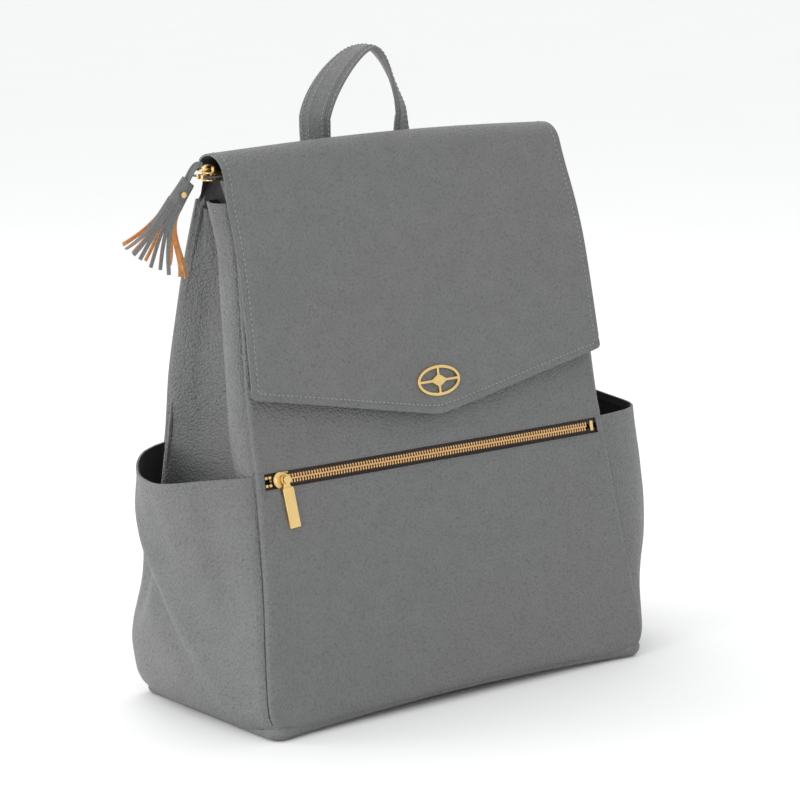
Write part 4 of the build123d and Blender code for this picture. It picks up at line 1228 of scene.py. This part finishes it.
# ---------------------------------------------------------------- shoulder straps
STRAP_TOP, STRAP_LOW = 366.0, 168.0


def strap_centre(z):
    return 52.0 + 52.0 * (STRAP_TOP - z) / (STRAP_TOP - STRAP_LOW)


def strap_ring(z, side, shrink):
    """Padded section: crowned outside, flat against the back, pinched at the ends."""
    points = []
    half = 29.0 - 1.5 - 2.0 * bell(z, STRAP_LOW, 9.0)
    thick = ((10.0 - 2.4) * (1 - 0.45 * bell(z, STRAP_TOP, 16.0))
             * (1 - 0.4 * bell(z, STRAP_LOW, 12.0)) * shrink)
    base = back_y(z) + 3.8
    for k in range(40):
        angle = k * math.tau / 40
        a, b = math.cos(angle), math.sin(angle)
        x = half * math.copysign(abs(a) ** 0.55, a)
        lift = math.copysign(abs(b) ** 0.75, b)
        y = base + thick / 2 + thick / 2 * lift
        points.append((side * (strap_centre(z) + x), y, z))
    return points


def inflate(piece, cap):
    """Swells a closed mesh with Blender's cloth, no further than cap millimetres, and applies it."""
    before = piece.data.copy()
    remesh = piece.modifiers.new("remesh", "REMESH")
    remesh.mode, remesh.voxel_size, remesh.use_smooth_shade = "VOXEL", 3.2 * MM, True
    even = piece.modifiers.new("even", "SMOOTH")
    even.factor, even.iterations = 0.5, 8
    graph = bpy.context.evaluated_depsgraph_get()
    piece.data = bpy.data.meshes.new_from_object(piece.evaluated_get(graph))
    piece.modifiers.clear()
    rest = [v.co.copy() for v in piece.data.vertices]
    modifier = piece.modifiers.new("cloth", "CLOTH")
    settings = modifier.settings
    settings.quality, settings.mass = 5, 0.2
    settings.use_pressure, settings.uniform_pressure_force = True, 4.0
    settings.tension_stiffness = settings.compression_stiffness = 12.0
    settings.effector_weights.gravity = 0.0
    modifier.point_cache.frame_start, modifier.point_cache.frame_end = 1, 20
    scene = bpy.context.scene
    for number in range(1, 21):
        scene.frame_set(number)
    graph = bpy.context.evaluated_depsgraph_get()
    swollen = bpy.data.meshes.new_from_object(piece.evaluated_get(graph))
    for vertex, start in zip(swollen.vertices, rest):
        move = vertex.co - start
        if move.length > cap * MM:
            vertex.co = start + move * (cap * MM / move.length)
    piece.modifiers.clear()
    scene.frame_set(1)
    piece.data = swollen
    subdivide = piece.modifiers.new("smooth", "SUBSURF")
    subdivide.levels = subdivide.render_levels = 1
    graph = bpy.context.evaluated_depsgraph_get()
    piece.data = bpy.data.meshes.new_from_object(piece.evaluated_get(graph))
    piece.modifiers.clear()
    for material in before.materials:
        piece.data.materials.append(material)
    piece.data.polygons.foreach_set("use_smooth", [True] * len(piece.data.polygons))


def strap_face(side):
    """Outer face of the pad, used to lay its stitching."""
    def point(c, z):
        half = 27.5
        x = strap_centre(z) + c * half
        thick = (10.0 - 2.4) * (1 - 0.45 * bell(z, STRAP_TOP, 16.0)) * (1 - 0.4 * bell(z, STRAP_LOW, 12.0))
        lift = (max(0.0, 1 - abs(c) ** (2 / 0.55))) ** 0.375
        return side * x, back_y(z) + 3.8 + thick / 2 + thick / 2 * lift, z
    return point


def build_straps():
    for side, label in ((1, "right"), (-1, "left")):
        levels = spread([STRAP_LOW + 1.0, STRAP_LOW + 6.0, STRAP_TOP - 6.0, STRAP_TOP - 1.0], 7.0)
        piece = tube(f"strap_pad_{label}_soft", [strap_ring(z, side, 0.86) for z in levels],
                     [LEATHER_FINE], sharp=60.0)
        inflate(piece, 2.2)
        place(piece, f"{label}_strap", f"{label}_strap_pad")
        face = strap_face(side)
        rings = []
        for z in spread([STRAP_LOW + 3.0, STRAP_TOP - 3.0], 6.0):
            rings.append(z)
        paths = []
        for c in (-0.86, 0.86):
            paths.append(lay_path(face, [(c, z) for z in rings], (0, 1, 0), 0.9))
        place(stitches(f"strap_stitching_{label}", paths), f"{label}_strap")

        def webbing(c, z, side=side):
            top = STRAP_LOW + 6.0
            share = (z - 42.0) / (top - 42.0)
            centre = 134.0 + (strap_centre(top) - 134.0) * share
            slack = 2.2 * math.sin(math.pi * share)
            y = back_y(z) + 3.4 + 2.2 * min(1.0, max(0.0, (z - 42.0) / 14.0)) + slack * 0.6
            return side * (centre + c * 15.0), y + 1.8 - 0.25 * bell(abs(c), 1.0, 0.12), z

        us = spread([-1.0, -0.96, -0.9, 0.9, 0.96, 1.0], 0.12)
        piece = skin(f"strap_webbing_{label}_woven", us, spread([42.0, STRAP_LOW + 5.0], 4.0), webbing, 1.7,
                     [WEBBING], (0, 1, 0), edge=0.3)
        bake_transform(piece)
        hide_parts(f"{label}_strap_webbing")


# ---------------------------------------------------------------- tassel
CAP_TOP, CAP_END = Vector((-179.2, 4.0, 402.1)), Vector((-193.1, 4.0, 385.4))


# Across in half widths and out in half thicknesses, the grain side first.
STRIP_SECTION = ((-1, 0.2), (-0.9, 1), (0, 1.15), (0.9, 1), (1, 0.2),
                 (1, -0.6), (0.92, -1), (0, -1), (-0.92, -1), (-1, -0.6))
CAP_SECTION = ((-1, 0.3), (-0.94, 1), (0, 1), (0.94, 1), (1, 0.3),
               (1, -0.4), (0.94, -1), (-0.94, -1), (-1, -0.4))
CAP_HALF_THICKNESS = 0.75
STRIP_HALF, STRIP_THICKNESS = 1.55, 1.1


def strip_tube(name, path, half, thickness, facing, materials, twist=0.0):
    """A flat strip of leather along points; its grain side faces the given way."""
    rings = []
    count = len(path)
    for k, p in enumerate(path):
        direction = (path[min(k + 1, count - 1)] - path[max(k - 1, 0)]).normalized()
        out = (facing - direction * facing.dot(direction)).normalized()
        out = Quaternion(direction, twist * k / count) @ out
        side = direction.cross(out)
        t = thickness / 2
        rings.append([p + side * a * half + out * b * t for a, b in STRIP_SECTION])

    def shade(i):
        return 0 if len(materials) == 1 or i in (0, 1, 2, 3) else 1

    return tube(name, rings, materials, shade=shade, sharp=50.0)


def bend_path(start, tangent, tip, end_tangent, count=18):
    """Cubic from start to tip with the given end directions."""
    reach = (tip - start).length
    a, b = start + tangent * reach * 0.4, tip - end_tangent * reach * 0.35
    return [start * (1 - s) ** 3 + a * 3 * s * (1 - s) ** 2 + b * 3 * s * s * (1 - s) + tip * s ** 3
            for s in (k / count for k in range(count + 1))]


def cap_band(down, across):
    """The cap: one band folded over the loop, its back layer showing past the front one."""
    spine = [(2.6, 20.0, 4.0), (2.9, 12.0, 3.6), (2.7, 4.0, 3.0), (2.0, 1.2, 2.4), (0.4, 0.2, 1.4),
             (-1.4, 1.0, 0.5),
             (-2.3, 3.6, 0.1), (-2.7, 12.0, 0.0), (-2.5, 21.0, 0.0)]
    points = [CAP_TOP + down * a + Vector((0, y, 0)) - across * shift for y, a, shift in spine]
    rings = []
    for k, p in enumerate(points):
        run = points[min(k + 1, len(points) - 1)] - points[max(k - 1, 0)]
        out = (run - across * run.dot(across)).normalized().cross(across)
        half = 6.1 + 0.9 * spine[k][1] / 20.0
        rings.append([p + across * a * half + out * b * CAP_HALF_THICKNESS
                      for a, b in CAP_SECTION])
    return tube("tassel_wrap", rings, [LEATHER_FINE, SUEDE],
                shade=lambda i: 1 if i in (0, 1, 2, 3) else 0, sharp=50.0)


def build_tassel():
    down = (CAP_END - CAP_TOP).normalized()
    across = Vector((down.z, 0.0, -down.x))
    ring_far = Vector((-168.8, 4.0, 411.0))
    for name, y, facing_out in (("front", -1.4, Vector((-0.7, -1.0, 0.5))),
                                ("back", 1.8, Vector((-0.5, 1.0, 0.3)))):
        top = ring_far + Vector((2.0, 0.6 * y, 0.6))
        path = bend_path(top, Vector((-0.85, 0, 0.5)), CAP_TOP + down * 5.0 + Vector((0, 0.4 * y, 0)), down)
        piece = strip_tube(f"tassel_loop_{name}", path, 2.5, 1.2, facing_out.normalized(), [LEATHER_FINE])
        place(piece, "tassel", *(["tassel_loop"] if name == "front" else []))
    place(cap_band(down, across), "tassel", "tassel_cap")

    front = [(-236, -1, 358), (-231, -3, 353.5), (-227, -5, 350), (-219, -6, 343.5), (-211, -6, 341),
             (-205, -8, 337)]
    rear = [(-232, 9, 360), (-223, 11, 353), (-212, 12, 346), (-193, 10, 341), (-185.5, 8, 332),
            (-179, 10, 330)]
    random.seed(7)
    pieces = []
    for tips, y, shift, way in ((front, -2.5, 0.0, -1.0), (rear, 2.6, 3.6, 1.0)):
        for k, tip in enumerate(tips):
            tip = Vector(tip)
            start = CAP_TOP + down * 18.5 + across * (5.7 - 2.28 * k - shift) + Vector((0, y, 0))
            lean = k / (len(tips) - 1.0)
            curl = Vector((-1.0, 0.0, -0.42)).lerp(Vector((0.02, 0.0, -1.0)), lean ** 0.8).normalized()
            towards = Vector((0.3 * (random.random() - 0.5), way, 0.25 + 0.4 * random.random()))
            twist = (random.random() - 0.5) * 0.6 + (1.2 if way < 0 and k == 0 else 0.0)
            piece = strip_tube(f"tassel_strip_{len(pieces):02d}", bend_path(start, down, tip, curl),
                               STRIP_HALF, STRIP_THICKNESS,
                               towards.normalized(), [LEATHER_FINE, SUEDE], twist)
            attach(piece, "tassel")
            pieces.append(piece)
    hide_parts("tassel_fringe")


# ---------------------------------------------------------------- CAD parts that stay
def keep_metal():
    """Hardware whose CAD shape is right: softened edges and a plated finish."""
    finish = {"front_zip_end_stops": GOLD, "mouth_zip_end_stops": GOLD, "flap_ornament": GOLD,
              "ornament_washers": GOLD, "snap_male": GOLD, "snap_female": GOLD, "tassel_ring": GOLD,
              "tassel_rivet": GOLD, "right_strap_adjuster": GOLD, "left_strap_adjuster": GOLD,
              "base_board": BOARD}
    widths = {"flap_ornament": 0.45, "front_zip_end_stops": 0.6, "mouth_zip_end_stops": 0.6,
              "tassel_ring": 0.0,
              "base_board": 0.6}
    for name, material in finish.items():
        node = NODES[name]
        node.data.materials.clear()
        node.data.materials.append(material)
        width = widths.get(name, 0.3)
        if width:
            weld = node.modifiers.new("weld", "WELD")
            weld.merge_threshold = 0.002 * MM
            kind, settings = bevel(width, 3, 40.0)
            modifier = node.modifiers.new("bevel", kind)
            for key, value in settings.items():
                setattr(modifier, key, value)
        node.data.polygons.foreach_set("use_smooth", [True] * len(node.data.polygons))


# ---------------------------------------------------------------- studio
def studio():
    s = Shade("studio_floor", roughness=0.9, Specular_IOR_Level=0.2)
    s.link(s.mix(s.noise(3.0, 2.0), (0.945, 0.945, 0.945), (0.965, 0.965, 0.965)), "Base Color")
    bm = bmesh.new()
    size = 60.0
    corners = [bm.verts.new((x * size, y * size, 0.0)) for x, y in ((-1, -1), (1, -1), (1, 1), (-1, 1))]
    bm.faces.new(corners)
    mesh = bpy.data.meshes.new("floor")
    bm.to_mesh(mesh)
    bm.free()
    mesh.materials.append(s.material)
    floor = bpy.data.objects.new("floor", mesh)
    bpy.context.scene.collection.objects.link(floor)

    world = bpy.data.worlds.new("studio")
    world.use_nodes = True
    background = world.node_tree.nodes["Background"]
    background.inputs["Color"].default_value = (0.99, 0.995, 1.0, 1.0)
    background.inputs["Strength"].default_value = 0.98
    bpy.context.scene.world = world
    bpy.context.scene.view_settings.view_transform = "Standard"

    lights = [("key", (-1.3, -2.1, 2.3), 1.4, 5.0, (1.0, 0.99, 0.97)),
              ("left", (-2.4, -0.4, 0.6), 1.3, 17.0, (0.985, 0.995, 1.0)),
              ("back_left", (-1.9, 1.5, 1.0), 1.4, 14.0, (1.0, 0.99, 0.98)),
              ("top", (0.3, 0.9, 2.4), 1.2, 9.0, (1.0, 1.0, 1.0))]
    for name, spot, size, power, colour in lights:
        data = bpy.data.lights.new(name, "AREA")
        data.shape, data.size, data.energy, data.color = "DISK", size, power, colour
        lamp = bpy.data.objects.new(name, data)
        lamp.location = spot
        lamp.rotation_euler = (Vector((0, 0, 0.2)) - Vector(spot)).to_track_quat("-Z", "Y").to_euler()
        lamp.visible_camera = False
        bpy.context.scene.collection.objects.link(lamp)


build_front()
build_back()
build_base()
build_sides()
build_lining()
build_gores()
build_zips()
build_flap()
build_handle()
build_patches()
build_straps()
build_tassel()
keep_metal()
studio()

bpy.context.view_layer.update()
